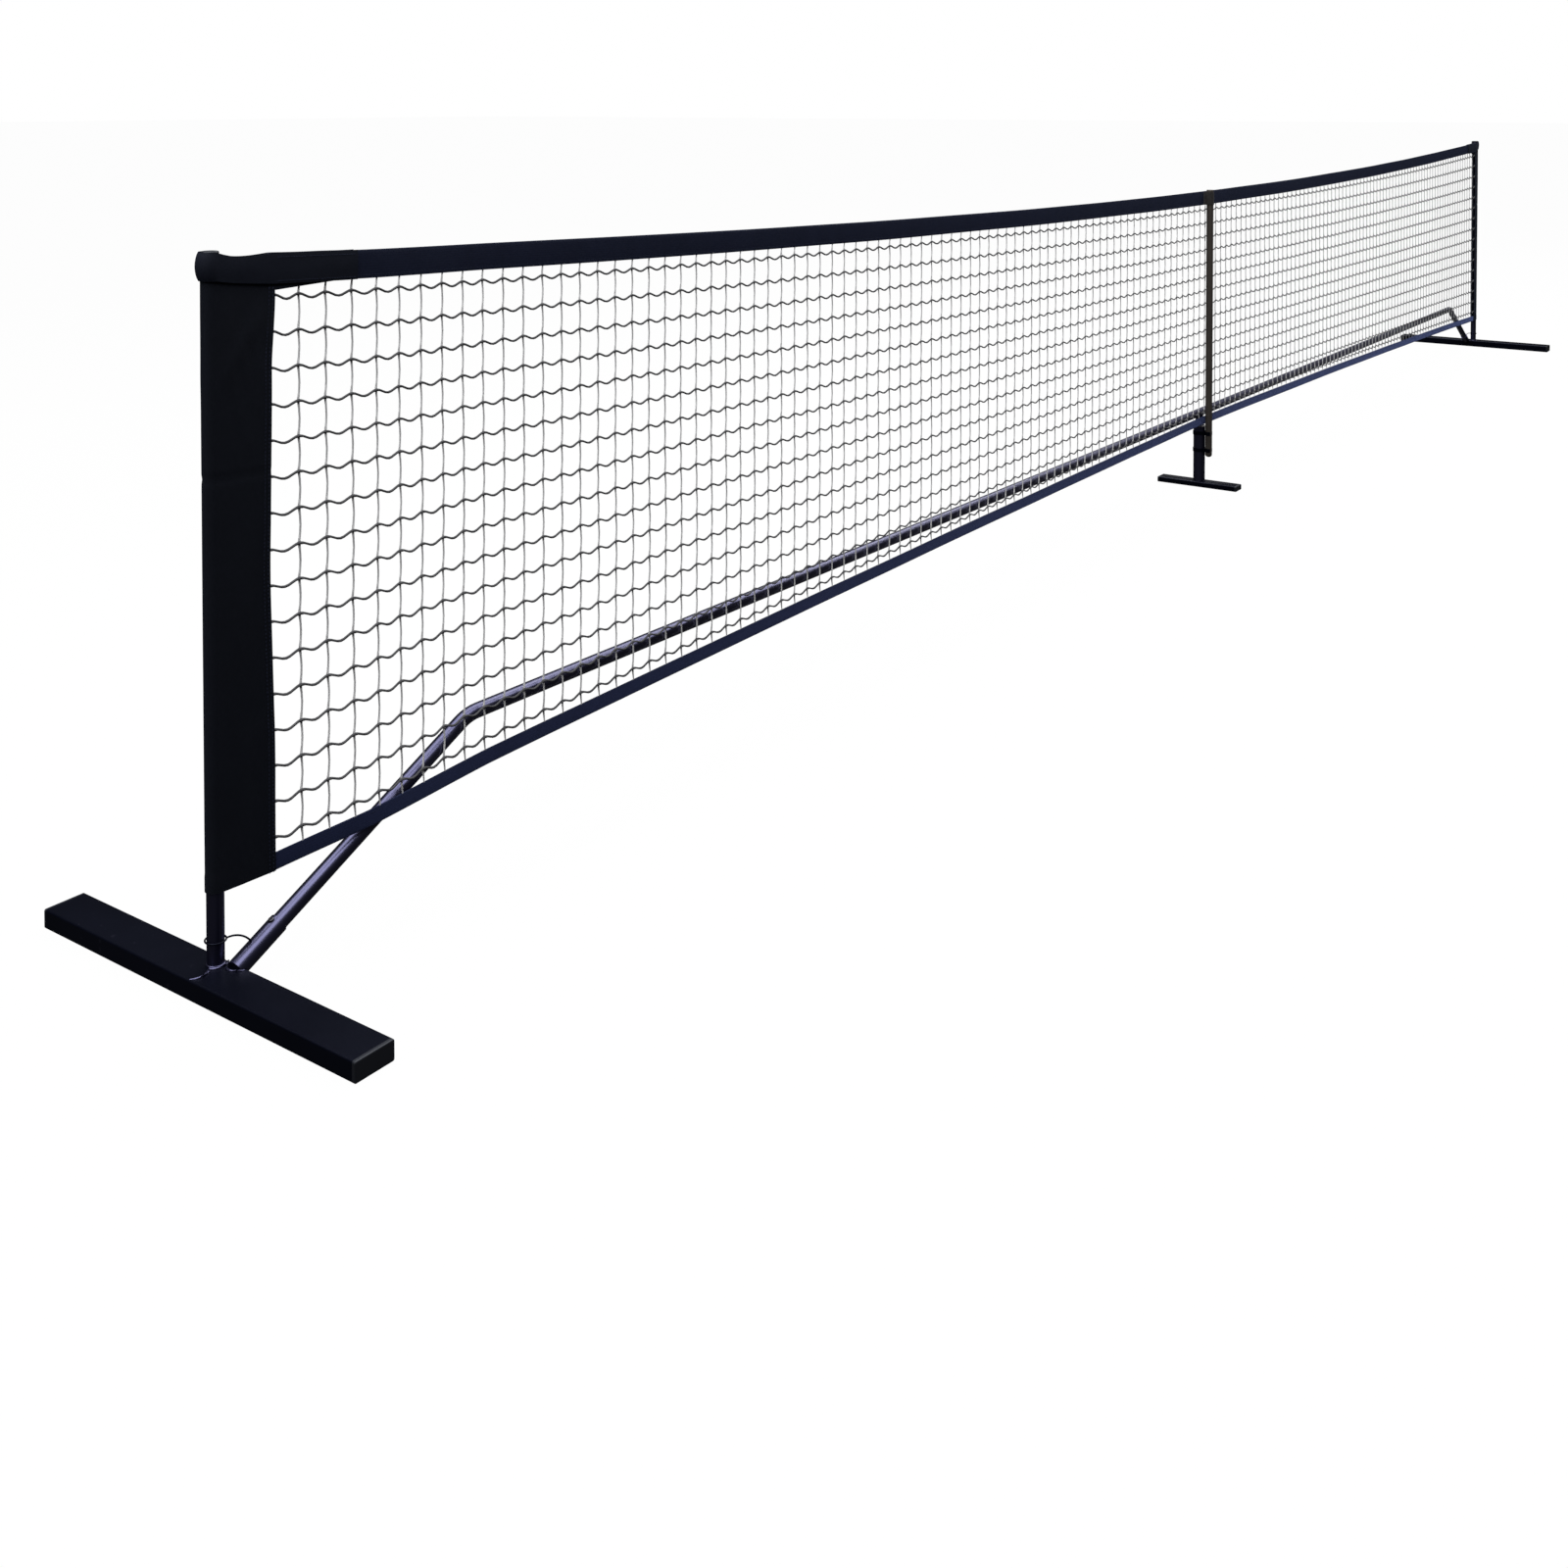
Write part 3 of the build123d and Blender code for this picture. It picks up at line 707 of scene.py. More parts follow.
# ---------------------------------------------------------------- twine
@dataclass
class TwineNet:
    """Square netting of one half: scalloped rows and straighter columns."""

    layout: NetLayout
    end: End
    rack: FinishRack
    columns: int = 77
    rows: int = 16
    first_row: float = 0.0205
    row_pitch: float = 0.0463
    row_radius: float = 0.0018
    column_radius: float = 0.0013
    scallop: float = 0.0062
    bow: float = 0.0021
    row_steps: int = 8
    column_steps: int = 4
    knot: float = 1.3
    drift: float = 0.0022
    sway: float = 0.0014
    free_from: float = 0.08
    lean_reach: float = 0.05
    centre_still: float = 0.05
    sewn_in: float = 0.3
    row_depth: float = -0.0009
    column_depth: float = 0.0006
    sides: int = 6

    @property
    def pitch(self) -> float:
        """Distance between columns."""
        return self.layout.seam_x / self.columns

    @property
    def flat_height(self) -> float:
        """Clear height between the tapes at a post, for which the cells are laid out."""
        layout = self.layout
        return layout.end_height - layout.top_tape - layout.low_end - layout.bottom_tape

    def strand(self, name: str, radius: float, steps: Sequence[tuple[float, ...]]) -> bpy.types.Object:
        """Model one cell of twine by extruding its section along short steps.

        Args:
            name: name of the piece.
            radius: twine radius.
            steps: x step, z step and the section's size at the end of each step.

        Returns:
            The strand of one cell.
        """
        put_down()
        upright = abs(steps[0][1]) > abs(steps[0][0])
        turn = (0, 0, 0) if upright else (0, math.pi / 2, 0)
        bpy.ops.mesh.primitive_circle_add(vertices=self.sides, radius=radius, rotation=turn)
        cell = claim(name)
        size = steps[-1][2]
        with editing(cell):
            bpy.ops.transform.resize(value=(size,) * 3)
            for x, z, wanted in steps:
                bpy.ops.mesh.extrude_region_move(TRANSFORM_OT_translate={"value": (x, 0, z)})
                bpy.ops.transform.resize(value=(wanted / size,) * 3)
                size = wanted
        return cell

    def repeat(self, cell: bpy.types.Object, along: Sequence[float], count: int,
               across: Sequence[float], lines: int) -> None:
        """Repeat a cell into a line, close its ends, and repeat the line.

        Args:
            cell: the strand of one cell.
            along: from one cell of a line to the next.
            count: cells in a line.
            across: from one line to the next.
            lines: how many lines there are.
        """
        repeat_piece(cell, along, count, merged=True)
        with editing(cell):
            bpy.ops.mesh.fill_holes(sides=self.sides)
        repeat_piece(cell, across, lines)

    def hang(self, from_seam: float, depth: float, rise: float) -> Vector:
        """Put a point of the flat netting where it hangs.

        Args:
            from_seam: distance from the sleeve's seam towards mid span.
            depth: offset across the netting.
            rise: height above the bottom tape.

        Returns:
            Its place.
        """
        layout, side = self.layout, self.end.value
        squeeze = 1.0
        if from_seam < 0:
            from_seam, squeeze = from_seam * 0.05, self.sewn_in
        share = rise / self.flat_height
        if rise < 0 or share > 1:
            squeeze = self.sewn_in
            rise = rise * 0.45 if rise < 0 else self.flat_height + (rise - self.flat_height) * 0.45
        inside = clamp(4 * share * (1 - share))
        x = side * max(0.0, layout.seam_x - from_seam)
        if from_seam < layout.seam_x - self.centre_still:
            x += self.drift * inside * clamp(from_seam / self.free_from) * wander(x * 2.3, rise * 6.0, 3.1)
        low = layout.low(x) + layout.bottom_tape
        high = layout.top(x) - layout.top_tape
        z = low + (high - low) * rise / self.flat_height
        z += self.sway * inside * wander(x * 5.1, rise * 9.0, 7.7)
        x += side * layout.seam_lean(z) * clamp(1 - from_seam / self.lean_reach)
        return Vector((x, layout.plan_y(x) + depth * squeeze, z))

    def cell_steps(self, count: int, step: Callable[[int], tuple[float, float]]) -> list[tuple[float, ...]]:
        """Steps of one cell, the last of which ends in a knot.

        Args:
            count: steps in the cell.
            step: takes a step's number and gives its x and z.

        Returns:
            Each step's x, z and section size.
        """
        return [(*step(i), self.knot if i == count - 1 else 1.0) for i in range(count)]

    def build(self) -> None:
        """Make the rows and the columns of this half."""
        step = self.pitch / self.row_steps
        turn = 2 * math.pi / self.row_steps
        drop = [-self.scallop * (1 - math.cos(turn * i)) / 2 for i in range(self.row_steps + 1)]
        steps = self.cell_steps(self.row_steps, lambda i: (step, drop[i + 1] - drop[i]))
        rows = self.strand(f"twine_rows_{self.end.word}", self.row_radius, steps)
        self.repeat(rows, (self.pitch, 0, 0), self.columns + 1, (0, 0, self.row_pitch), self.rows)
        lay(rows, lambda x, y, z: self.hang(x - self.pitch, y + self.row_depth, z + self.first_row))

        rise = self.row_pitch / self.column_steps
        bows = [self.bow * math.sin(math.pi * i / self.column_steps) for i in range(self.column_steps + 1)]
        steps = self.cell_steps(self.column_steps, lambda i: (bows[i + 1] - bows[i], rise))
        columns = self.strand(f"twine_columns_{self.end.word}", self.column_radius, steps)
        lines = self.columns if self.end is End.LEFT else self.columns - 1
        self.repeat(columns, (0, 0, self.row_pitch), self.rows + 1, (self.pitch, 0, 0), lines)
        start = self.first_row - self.row_pitch
        lay(columns, lambda x, y, z: self.hang(x + self.pitch, y + self.column_depth, z + start))
        for twine, finish in ((rows, "row_twine"), (columns, "column_twine")):
            face_out(twine)
            smooth(twine, 70.0)
            stands_for = (f"mesh_{self.end.word}",) if twine is rows else ()
            dress(twine, self.rack.get(finish), Slot.TWINE, "net", *stands_for)


# ---------------------------------------------------------------- tapes
TAPE_INTO_SLEEVE = 0.005


@dataclass
class FoldedTape:
    """Webbing folded over an edge of the net and sewn through, with the netting between its two layers."""

    layout: NetLayout
    rack: FinishRack
    name: str
    node: str
    finish: str
    edge: Callable[[float], float]
    fold_up: bool
    width: float
    reach: float
    fold: float = 0.0009
    cloth: float = 0.0007
    segments: int = 300
    belly: float = 0.0005
    stitch_inset: float = 0.0045

    def profile(self) -> list[tuple[float, float]]:
        """Shape of the tape's section.

        Returns:
            Depth and drop of its points, from the front open edge, over the fold, to the back one.
        """
        bend = 6
        drops = [1.0, 0.72, 0.4, 0.12]
        front = [(-self.fold, self.fold + (self.width - self.fold) * d) for d in drops]
        arc = [(-self.fold * math.cos(math.pi * i / bend), self.fold * (1 - math.sin(math.pi * i / bend)))
               for i in range(bend + 1)]
        return front + arc + [(-depth, drop) for depth, drop in reversed(front)]

    def spot(self, x: float, drop: float, depth: float) -> Vector:
        """Place on the tape, with its slight unevenness.

        Args:
            x: place along the net.
            drop: distance from the folded edge.
            depth: offset from the net's middle plane.

        Returns:
            The place.
        """
        z = self.edge(x) + (-drop if self.fold_up else drop) + 0.0007 * wander(x * 3.0, drop * 12.0, 1.7)
        return Vector((x, self.layout.plan_y(x) + depth + 0.0006 * wander(x * 2.1, 4.0 + drop * 8.0), z))

    def build(self) -> None:
        """Make the tape and its two rows of stitches."""
        points = self.profile()
        last = len(points) - 1

        def place(u: float, v: float, _: float) -> Vector:
            """Lay a point of the flat tape over the net's edge."""
            depth, drop = points[round(v * last)]
            belly = self.belly * math.sin(math.pi * min(1.0, drop / self.width)) * (1 if depth < 0 else -1)
            return self.spot(-self.reach + 2 * self.reach * u, drop, depth - belly)

        flat = (2 * self.width, 2 * self.reach)
        tape = make_sheet(self.name, (self.segments, last), place, flat[::-1], self.cloth)
        dress(tape, self.rack.get(self.finish), Slot.NAVY, "net", self.node)
        rows = [self.stitch_row(side) for side in (-1, 1)]

    def stitch_row(self, side: int) -> bpy.types.Object:
        """Stitch along the open edge.

        Args:
            side: -1 for the front layer, 1 for the back one.

        Returns:
            The row of stitches.
        """
        drop = self.width - self.stitch_inset
        outer = self.fold + self.cloth / 2 + 0.0001
        inset = 0.01

        def route(s: float, sideways: float, out: float) -> Vector:
            """Place of a stitch point."""
            spot = self.spot(-self.reach + inset + s, drop, side * (outer + out))
            return spot + Vector((0.0, 0.0, sideways))

        word = "front" if side < 0 else "back"
        row = stitch_line(f"{self.name}_stitches_{word}", 2 * (self.reach - inset), route)
        return dress(row, self.rack.get("thread"), Slot.NAVY, "net")


# ---------------------------------------------------------------- sleeves and straps
def ray(angle: float) -> Vector:
    """Unit vector in plan at an angle."""
    return Vector((math.cos(angle), math.sin(angle)))


class PlanPath:
    """Path of cloth in plan, read at any share of its length."""

    def __init__(self, points: Sequence[Vector]) -> None:
        """Measure the path.

        Args:
            points: its points.
        """
        self.points = list(points)
        self.lengths = [0.0]
        for a, b in zip(self.points, self.points[1:]):
            self.lengths.append(self.lengths[-1] + (b - a).length)

    @property
    def length(self) -> float:
        """Length of the path."""
        return self.lengths[-1]

    def at(self, share: float) -> tuple[Vector, Vector]:
        """Point and right-hand direction at a share of the length.

        Args:
            share: 0 at the start, 1 at the end.

        Returns:
            Plan point, and unit vector to the right of the way along.
        """
        want = clamp(share) * self.length
        i = 0
        while i < len(self.lengths) - 2 and self.lengths[i + 1] < want:
            i += 1
        a, b = self.points[i], self.points[i + 1]
        span = max(1e-9, self.lengths[i + 1] - self.lengths[i])
        along = (b - a).normalized()
        return a.lerp(b, (want - self.lengths[i]) / span), Vector((along.y, -along.x))


def wrap_path(centre: Vector, seam: Vector, turn: int, radius: float, gap: float,
              tail: Sequence[tuple[float, float]] = ()) -> PlanPath:
    """Plan of cloth that starts at a seam, goes round a post and comes back.

    Args:
        centre: the post's axis.
        seam: where the two layers meet.
        turn: 1 to go round anticlockwise from the front, -1 clockwise.
        radius: of the cloth's middle round the post.
        gap: from the net's middle plane to the cloth's middle at the seam.
        tail: points along the net that both layers follow before the seam.

    Returns:
        The path, from the front layer's start to the back layer's end.
    """
    across = seam - centre
    heading = math.atan2(across.y, across.x)
    open_angle = math.acos((radius - gap) / across.length)
    arc = 28
    round_post = 2 * (math.pi - open_angle)
    points = [Vector((x, y - gap)) for x, y in tail]
    points.append(seam + gap * ray(heading + turn * open_angle))
    for i in range(arc + 1):
        points.append(centre + radius * ray(heading + turn * (open_angle + round_post * i / arc)))
    points.append(seam + gap * ray(heading - turn * open_angle))
    return PlanPath(points + [Vector((x, y + gap)) for x, y in reversed(tail)])


@dataclass
class PostSleeve:
    """Cloth sleeve sewn round a post, with a hem, a seam and hanging wrinkles."""

    layout: NetLayout
    end: End
    rack: FinishRack
    slack: float = 0.0006
    cloth: float = 0.0011
    across: int = 60
    along: int = 130
    hem: float = 0.02
    covered: float = 0.035
    wrinkle: float = 0.0021
    gap: float = 0.0026
    below_tape: float = 0.0015
    below_head: float = 0.006
    crease_height: float = 0.632
    crease_width: float = 0.0035
    crease_depth: float = 0.0009
    wobble: float = 0.0008
    stitch_insets: tuple[float, float] = (0.004, 0.0095)

    def build(self) -> None:
        """Make the sleeve and its stitches."""
        layout, side = self.layout, self.end.value
        centre = Vector((side * layout.post_x, 0.0))
        path = wrap_path(centre, layout.seam(self.end), side, layout.post_radius + self.slack, self.gap)
        low, high = layout.low(layout.seam_x) - self.below_tape, layout.end_height - self.below_head
        sewn_below = high - self.covered

        def place(u: float, v: float, _: float) -> Vector:
            """Wrap a point of the flat sleeve round the post."""
            z = low + (high - low) * v
            point, outward = path.at(u)
            to_seam = clamp((layout.post_x - abs(point.x)) / (layout.post_x - layout.seam_x))
            z += (0.003 * to_seam - 0.001) * (1 - v) ** 3
            free = clamp((sewn_below - z) / 0.06)
            folds = 0.5 + 0.5 * wander(point.x * 42 + side * 3, point.y * 60, z * 5.5)
            ripples = 0.5 + 0.5 * wander(point.x * 90, point.y * 110 + 9, z * 26 + side * 5)
            upper = max(0.0, 1 - (high - z) / 0.3)
            away = abs(point.x - centre.x)
            pull = math.exp(-(((z - high + 0.05 + 1.6 * (0.07 - away)) / 0.022) ** 2))
            loose = 0.15 + 0.85 * min(1.0, 3 * to_seam)
            lift = self.wrinkle * (folds * 0.7 + ripples * (0.25 + 0.5 * upper) + pull * 0.7) * free * loose
            lift -= self.crease_depth * math.exp(-(((z - self.crease_height) / self.crease_width) ** 2))
            if z < low + self.hem:
                lift = lift * 0.5 + 0.0005
            point = point + outward * side * lift
            point.x += to_seam * (side * layout.seam_lean(z) + self.wobble * wander(z * 9, side))
            return Vector((point.x, point.y, z))

        flat = (path.length, high - low)
        piece = make_sheet(f"sleeve_cloth_{self.end.word}", (self.across, self.along), place, flat,
                           self.cloth)
        dress(piece, self.rack.get("sleeve"), Slot.SLEEVE, "net", f"sleeve_{self.end.word}")
        rows = [self.seam_row(inset, way, low, sewn_below) for inset in self.stitch_insets for way in (-1, 1)]

    def seam_row(self, inset: float, way: int, low: float, high: float) -> bpy.types.Object:
        """Stitch one upright row beside the seam.

        Args:
            inset: distance from the seam.
            way: -1 for the front layer, 1 for the back one.
            low: height of the row's foot.
            high: height of its head.

        Returns:
            The row of stitches.
        """
        layout, side = self.layout, self.end.value
        seam = layout.seam(self.end)
        share = inset / (layout.post_x - layout.seam_x)
        face = self.gap + (layout.post_radius + self.slack) * share + self.cloth / 2 + 0.0012

        def route(s: float, sideways: float, out: float) -> Vector:
            """Place of a stitch point."""
            z = low + s
            x = seam.x + side * (inset + layout.seam_lean(z)) + sideways + self.wobble * wander(z * 9, side)
            return Vector((x, seam.y * (1 - share) + way * (face + out), z))

        word = "front" if way < 0 else "back"
        row = stitch_line(f"sleeve_stitches_{self.end.word}_{word}_{round(inset * 1e4)}", high - low, route)
        return dress(row, self.rack.get("thread"), Slot.SLEEVE, "net")


@dataclass
class CornerStrap:
    """Strap round the head of a post, sewn to both faces of the top tape, with a small gusset under it."""

    layout: NetLayout
    end: End
    rack: FinishRack
    slack: float = 0.0021
    bulge: float = 0.0036
    gap: float = 0.0036
    cloth: float = 0.0013
    width: float = 0.039
    across: int = 110
    along: int = 10
    droop: float = 0.004
    narrowing: float = 0.004
    head_rise: float = 0.0024
    gusset_length: float = 0.125
    gusset_depth: float = 0.0105
    gusset_tip: float = 0.002
    gusset_cloth: float = 0.0012
    gusset_front: float = 0.0019
    stitch_rises: tuple[float, float] = (0.004, 0.034)

    def build(self) -> None:
        """Make the strap and its gusset."""
        layout, side = self.layout, self.end.value
        xs = [side * (layout.strap_end + (layout.seam_x - layout.strap_end) * i / 8) for i in range(8)]
        tail = [(x, layout.plan_y(x)) for x in xs]
        centre = Vector((side * layout.post_x, 0.0))
        radius = layout.post_radius + self.slack
        path = wrap_path(centre, layout.seam(self.end), side, radius, self.gap, tail)

        def place(u: float, v: float, _: float) -> Vector:
            """Wrap a point of the flat strap round the post's head."""
            point, outward = path.at(u)
            x = min(abs(point.x), layout.post_x)
            loose = clamp((x - layout.seam_x) / (layout.post_x - layout.seam_x))
            outboard = max(0.0, (abs(point.x) - layout.post_x) / radius)
            top = layout.top(x) + 0.0004 + self.head_rise * loose ** 4
            top -= self.droop * v * math.sin(math.pi * loose)
            z = top - (self.width - self.narrowing * loose) * (1 - v)
            z += 0.0006 * wander(point.x * 20, point.y * 40, side)
            lift = self.bulge * outboard * math.sin(math.pi * v) ** 0.7 + 0.0009 * math.sin(math.pi * v)
            lift += 0.0004 + 0.0004 * wander(point.x * 30, z * 40, side + 6)
            point = point + outward * side * lift
            return Vector((point.x, point.y, z))

        flat = (path.length, self.width)
        piece = make_sheet(f"corner_strap_cloth_{self.end.word}", (self.across, self.along), place, flat,
                           self.cloth)
        dress(piece, self.rack.get("strap"), Slot.STRAP, "net", f"corner_strap_{self.end.word}")
        rows = [self.tail_row(way, rise) for way in (-1, 1) for rise in self.stitch_rises]
        self.gusset()

    def tail_row(self, way: int, rise: float) -> bpy.types.Object:
        """Stitch along the strap's tail.

        Args:
            way: -1 for the front layer, 1 for the back one.
            rise: height above the strap's lower edge.

        Returns:
            The row of stitches.
        """
        layout, side = self.layout, self.end.value
        inset, pitch = 0.004, 0.004

        def route(s: float, sideways: float, out: float) -> Vector:
            """Place of a stitch point."""
            x = side * (layout.strap_end + inset + s)
            y = layout.plan_y(x) + way * (self.gap + self.cloth / 2 + 0.0011 + out)
            return Vector((x, y, layout.top(x) - self.width + rise + sideways))

        word = ("front" if way < 0 else "back") + ("_low" if rise < self.width / 2 else "_high")
        length = layout.seam_x - layout.strap_end - 2 * inset
        row = stitch_line(f"strap_stitches_{self.end.word}_{word}", length, route, pitch)
        return dress(row, self.rack.get("thread"), Slot.STRAP, "net")

    def gusset(self) -> None:
        """Make the small triangle of cloth in the corner under the strap."""
        layout, side = self.layout, self.end.value
        length, depth = self.gusset_length, self.gusset_depth

        def place(u: float, v: float, _: float) -> Vector:
            """Taper the patch along the strap."""
            x = side * (layout.seam_x + 0.004 - length * u)
            top = layout.top(x) - self.width + 0.004
            fall = (self.gusset_tip + depth * (1 - u)) * v
            return Vector((x, layout.plan_y(x) - self.gusset_front, top - fall))

        patch = make_sheet(f"corner_gusset_{self.end.word}", (12, 5), place, (length, depth),
                           self.gusset_cloth)
        dress(patch, self.rack.get("strap"), Slot.STRAP, "net")


@dataclass
class RodLoop:
    """Grey webbing loop sewn to the top tape, round the head of the centre rod."""

    layout: NetLayout
    rack: FinishRack
    cloth: float = 0.0013
    height: float = 0.036
    top: float = 0.838
    foot: float = 0.011
    slack: float = 0.0009
    behind: float = 0.0024
    crisp: float = 50.0

    def build(self) -> None:
        """Make the loop and its stitches."""
        low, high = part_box("centre_rod")
        centre = Vector(((low.x + high.x) / 2, (low.y + high.y) / 2))
        radius = (high.x - low.x) / 2 + self.slack
        flat_y = self.layout.plane_y - self.behind
        foot = [Vector((-radius - self.foot, flat_y)), Vector((-radius - 0.004, flat_y)),
                Vector((-radius - 0.0008, flat_y - 0.0022))]
        arc = 18
        bend = [centre + radius * ray(math.pi * (1 + i / arc)) for i in range(arc + 1)]
        path = PlanPath(foot + bend + [Vector((-p.x, p.y)) for p in reversed(foot)])

        def place(u: float, v: float, _: float) -> Vector:
            """Bend a point of the flat band round the rod."""
            point = path.at(u)[0]
            return Vector((*point, self.top - self.height * (1 - v) + 0.0004 * wander(u * 9, v * 2)))

        flat = (path.length, self.height)
        band = make_sheet("rod_loop_cloth", (60, 8), place, flat, self.cloth, self.crisp)
        dress(band, self.rack.get("grey_strap"), Slot.GREY_WEBBING, "net", "centre_loop")
        x = radius + self.foot * 0.6
        front = flat_y - self.cloth / 2 - 0.0002
        rows = [self.stitch_row("left", -x, front), self.stitch_row("right", x, front)]

    def stitch_row(self, word: str, x: float, front: float) -> bpy.types.Object:
        """Stitch one foot of the loop to the tape.

        Args:
            word: left or right.
            x: place along the net.
            front: y of the foot's front face.

        Returns:
            The row of stitches.
        """
        inset, pitch = 0.002, 0.004
        start = self.top - self.height + inset
        row = stitch_line(f"rod_loop_stitches_{word}", self.height - 2 * inset,
                          lambda s, sideways, out: Vector((x + sideways, front - out, start + s)), pitch)
        return dress(row, self.rack.get("thread"), Slot.GREY_WEBBING, "net")


# ---------------------------------------------------------------- weld beads
@dataclass
class WeldBead:
    """Rippled bead of weld along a route on a foot's top, coated with the frame."""

    name: str
    route: Sequence[tuple[float, float]]
    height: float
    body: str
    rack: FinishRack
    finish: str = "foot"
    radius: float = 0.0022
    closed: bool = False
    sides: int = 10
    tip: float = 0.35
    ripple: float = 0.16

    def size_at(self, i: int, last: int) -> float:
        """Size of the bead's section.

        Args:
            i: number of the route's point.
            last: number of its last one.

        Returns:
            The share of the full radius.
        """
        if self.closed and i in (0, last):
            return 1.0
        if i == 0:
            return self.tip
        ends = 1.0 if self.closed else min(1.0, self.tip + 3.0 * min(i, last - i) / last)
        return (1.0 + self.ripple * math.sin(i * 2.1)) * ends

    def heading_at(self, i: int, last: int) -> float:
        """Direction of the route at one of its points.

        Args:
            i: number of the point.
            last: number of the last one.

        Returns:
            The angle in plan.
        """
        before = self.route[max(0, i - 1)]
        after = self.route[1] if self.closed and i == last else self.route[min(i + 1, last)]
        return math.atan2(after[1] - before[1], after[0] - before[0])

    def build(self) -> None:
        """Extrude the bead's section along its route and ripple it."""
        put_down()
        last = len(self.route) - 1
        here = Vector((*self.route[0], self.height))
        heading, size = self.heading_at(0, last), self.size_at(0, last)
        bpy.ops.mesh.primitive_circle_add(vertices=self.sides, radius=self.radius, location=here,
                                          rotation=(math.pi / 2, 0, heading + math.pi / 2))
        bead = claim(self.name)
        with editing(bead):
            bpy.ops.transform.resize(value=(size,) * 3, center_override=here)
            for i in range(1, last + 1):
                there = Vector((*self.route[i], self.height))
                bpy.ops.mesh.extrude_region_move(TRANSFORM_OT_translate={"value": there - here})
                turn = (self.heading_at(i, last) - heading + math.pi) % (2 * math.pi) - math.pi
                bpy.ops.transform.rotate(value=turn, orient_axis="Z", center_override=there)
                heading += turn
                wanted = self.size_at(i, last)
                bpy.ops.transform.resize(value=(wanted / size,) * 3, center_override=there)
                size, here = wanted, there
            bpy.ops.mesh.select_all(action="SELECT")
            bpy.ops.mesh.remove_doubles(threshold=1e-5)
            bpy.ops.mesh.fill_holes(sides=self.sides)
        rounded = bead.modifiers.new("round", "SUBSURF")
        rounded.levels = rounded.render_levels = 1
        apply_modifiers(bead)
        face_out(bead)
        smooth(bead, 80.0)
        dress(bead, self.rack.get(self.finish), Slot.POWDER, self.body)


@dataclass
class WeldSet:
    """Every weld bead that shows."""

    rack: FinishRack
    wave_start: float = 3.396
    wave_step: float = 0.0019
    wave_points: int = 31
    wave_base: float = 0.0045
    wave_height: float = 0.0085
    leg_centre: tuple[float, float] = (3.3405, 0.026)
    leg_arc: tuple[float, float] = (0.0125, 0.0145)
    arc_points: int = 22
    ring_points: int = 48

    def build(self) -> None:
        """Make the beads on the two end feet and at the centre station."""
        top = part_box("foot_left")[1].z
        turn_step = 2 * math.pi / self.wave_points
        for end in End:
            side = end.value
            wave = [(side * (self.wave_start - self.wave_step * i),
                     side * (self.wave_base + self.wave_height * abs(math.sin(turn_step * i))))
                    for i in range(self.wave_points + 1)]
            WeldBead(f"foot_bead_{end.word}", wave, top, "frame", self.rack, "tube", 0.0028).build()
            turns = [math.pi * (0.5 + i / self.arc_points) for i in range(self.arc_points + 1)]
            arc = [(side * (self.leg_centre[0] - self.leg_arc[0] * math.cos(turn)),
                    side * (self.leg_centre[1] + self.leg_arc[1] * math.sin(turn))) for turn in turns]
            WeldBead(f"leg_bead_{end.word}", arc, top, "frame", self.rack, "tube", 0.0021).build()
        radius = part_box("socket_post")[1].x
        rays = [ray(2 * math.pi * i / self.ring_points) * radius for i in range(self.ring_points + 1)]
        WeldBead("station_bead", [tuple(point) for point in rays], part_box("centre_foot")[1].z, "centre_base",
                 self.rack, closed=True).build()


# ---------------------------------------------------------------- CAD nodes
@dataclass
class FrameFinishes:
    """Gives each CAD node that stays its finish."""

    rack: FinishRack

    starts: tuple[tuple[str, str], ...] = (
        ("foot_cap", "black_plastic"), ("centre_foot_cap", "black_plastic"), ("post_cap", "black_plastic"),
        ("rod_clip", "foot"), ("link_wire", "foot"), ("rod_foot_cap", "rod"), ("rod_head_cap", "rod"),
        ("foot", "foot"), ("centre_foot", "foot"), ("socket_bush", "grey_plastic"),
        ("snap_button", "button"), ("snap_spring", "spring"), ("centre_rod", "rod"))

    def finish_for(self, node: str) -> str:
        """Finish of a CAD node.

        Args:
            node: the node's name.

        Returns:
            The name of its finish.
        """
        return next((finish for start, finish in self.starts if node.startswith(start)), "tube")

    def build(self) -> None:
        """Dress every CAD node."""
        for name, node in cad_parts.items():
            if node.hide_render:
                continue
            node.data.materials.clear()
            node.data.materials.append(self.rack.get(self.finish_for(name)))


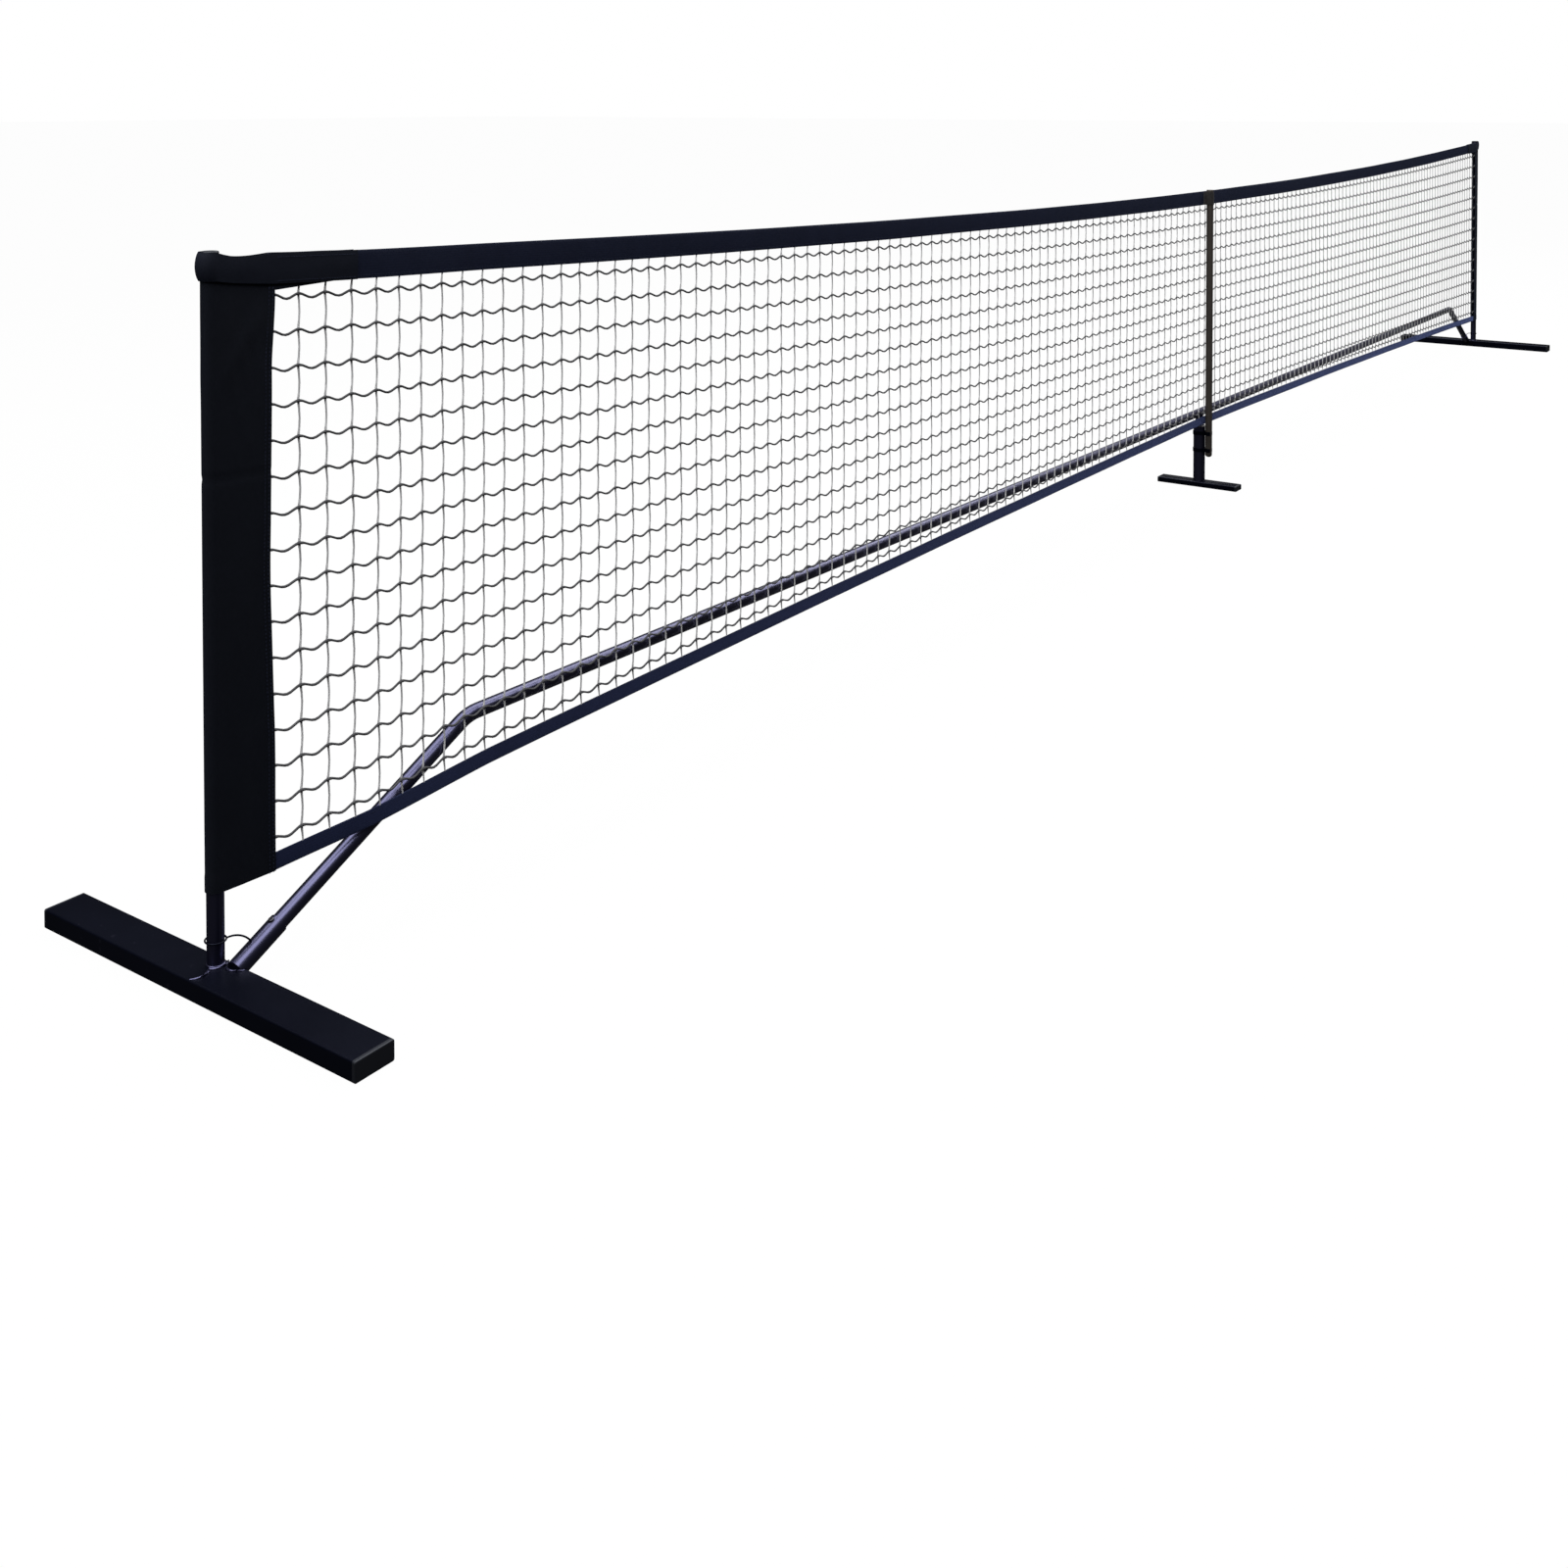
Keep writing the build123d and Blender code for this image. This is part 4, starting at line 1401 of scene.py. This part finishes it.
# ---------------------------------------------------------------- studio
@dataclass
class Studio:
    """Camera, floor and light."""

    place: tuple[float, float, float] = (-4.65152, -1.73902, 1.09923)
    yaw: float = 0.94306
    pitch: float = 0.02454
    roll: float = -0.00081
    lens: float = 38.7583
    shift: tuple[float, float] = (0.031884, -0.409836)
    sensor: float = 36.0
    clip: tuple[float, float] = (0.05, 400.0)
    floor_size: float = 160.0
    floor_colour: tuple[float, float, float, float] = (0.012, 0.012, 0.012, 1.0)
    floor_glow: float = 0.98
    softbox_size: tuple[float, float] = (17.0, 5.5)
    softbox_place: tuple[float, float, float] = (-1.5, -0.3, 4.4)
    softbox_power: float = 1150.0
    surround: float = 0.04

    def camera(self) -> None:
        """Set up the camera."""
        right = Vector((math.cos(self.yaw), -math.sin(self.yaw), 0.0))
        level = Vector((math.sin(self.yaw), math.cos(self.yaw), 0.0)) * math.cos(self.pitch)
        forward = level - Vector((0.0, 0.0, math.sin(self.pitch)))
        up = right.cross(forward)
        turned_right = right * math.cos(self.roll) + up * math.sin(self.roll)
        turned_up = up * math.cos(self.roll) - right * math.sin(self.roll)
        data = bpy.data.cameras.new("camera")
        data.lens, data.sensor_width, data.sensor_fit = self.lens, self.sensor, "AUTO"
        data.shift_x, data.shift_y = self.shift
        data.clip_start, data.clip_end = self.clip
        camera = bpy.data.objects.new("camera", data)
        bpy.context.scene.collection.objects.link(camera)
        turn = Matrix((turned_right, turned_up, -forward)).transposed()
        camera.matrix_world = Matrix.Translation(self.place) @ turn.to_4x4()
        bpy.context.scene.camera = camera

    def floor(self) -> None:
        """Lay a plain pale floor."""
        put_down()
        bpy.ops.mesh.primitive_grid_add(x_subdivisions=4, y_subdivisions=4, size=self.floor_size)
        floor = claim("studio_floor")
        material, desk, shader = start_material("studio_floor_white")
        desk.feed(shader, {"Base Color": self.floor_colour, "Roughness": 1.0, "Specular IOR Level": 0.0,
                           "Emission Color": (1.0,) * 4, "Emission Strength": self.floor_glow})
        material.cycles.emission_sampling = "NONE"
        floor.data.materials.append(material)
        floor.visible_diffuse = floor.visible_glossy = False

    def light(self) -> None:
        """Light the set with one long softbox overhead and a pale surround."""
        softbox = bpy.data.lights.new("overhead_softbox", "AREA")
        softbox.shape = "RECTANGLE"
        softbox.size, softbox.size_y = self.softbox_size
        softbox.energy = self.softbox_power
        lamp = bpy.data.objects.new("overhead_softbox", softbox)
        bpy.context.scene.collection.objects.link(lamp)
        lamp.location = self.softbox_place
        world = bpy.data.worlds.new("studio")
        bpy.context.scene.world = world
        world.use_nodes = True
        desk = NodeDesk(world.node_tree)
        seen = desk.add("ShaderNodeLightPath").outputs["Is Camera Ray"]
        desk.feed(world.node_tree.nodes["Background"], {"Strength": desk.spread(seen, self.surround, 1.0),
                                                        "Color": (1.0,) * 4})
        bpy.context.scene.view_settings.view_transform = "Standard"

    def build(self) -> None:
        """Build the whole set."""
        self.camera()
        self.floor()
        self.light()


def main() -> None:
    """Build every sub-assembly in order."""
    rack = FinishRack()
    layout = NetLayout()
    Studio().build()
    for end in End:
        TwineNet(layout, end, rack).build()
    reach = layout.seam_x + TAPE_INTO_SLEEVE
    FoldedTape(layout, rack, "top_tape_binding", "top_tape", "top_tape", layout.top, True, layout.top_tape,
               reach).build()
    FoldedTape(layout, rack, "bottom_tape_binding", "bottom_tape", "low_tape", layout.low, False,
               layout.bottom_tape, reach).build()
    for end in End:
        PostSleeve(layout, end, rack).build()
        CornerStrap(layout, end, rack).build()
    RodLoop(layout, rack).build()
    WeldSet(rack).build()
    FrameFinishes(rack).build()


if __name__ == "__main__":
    main()
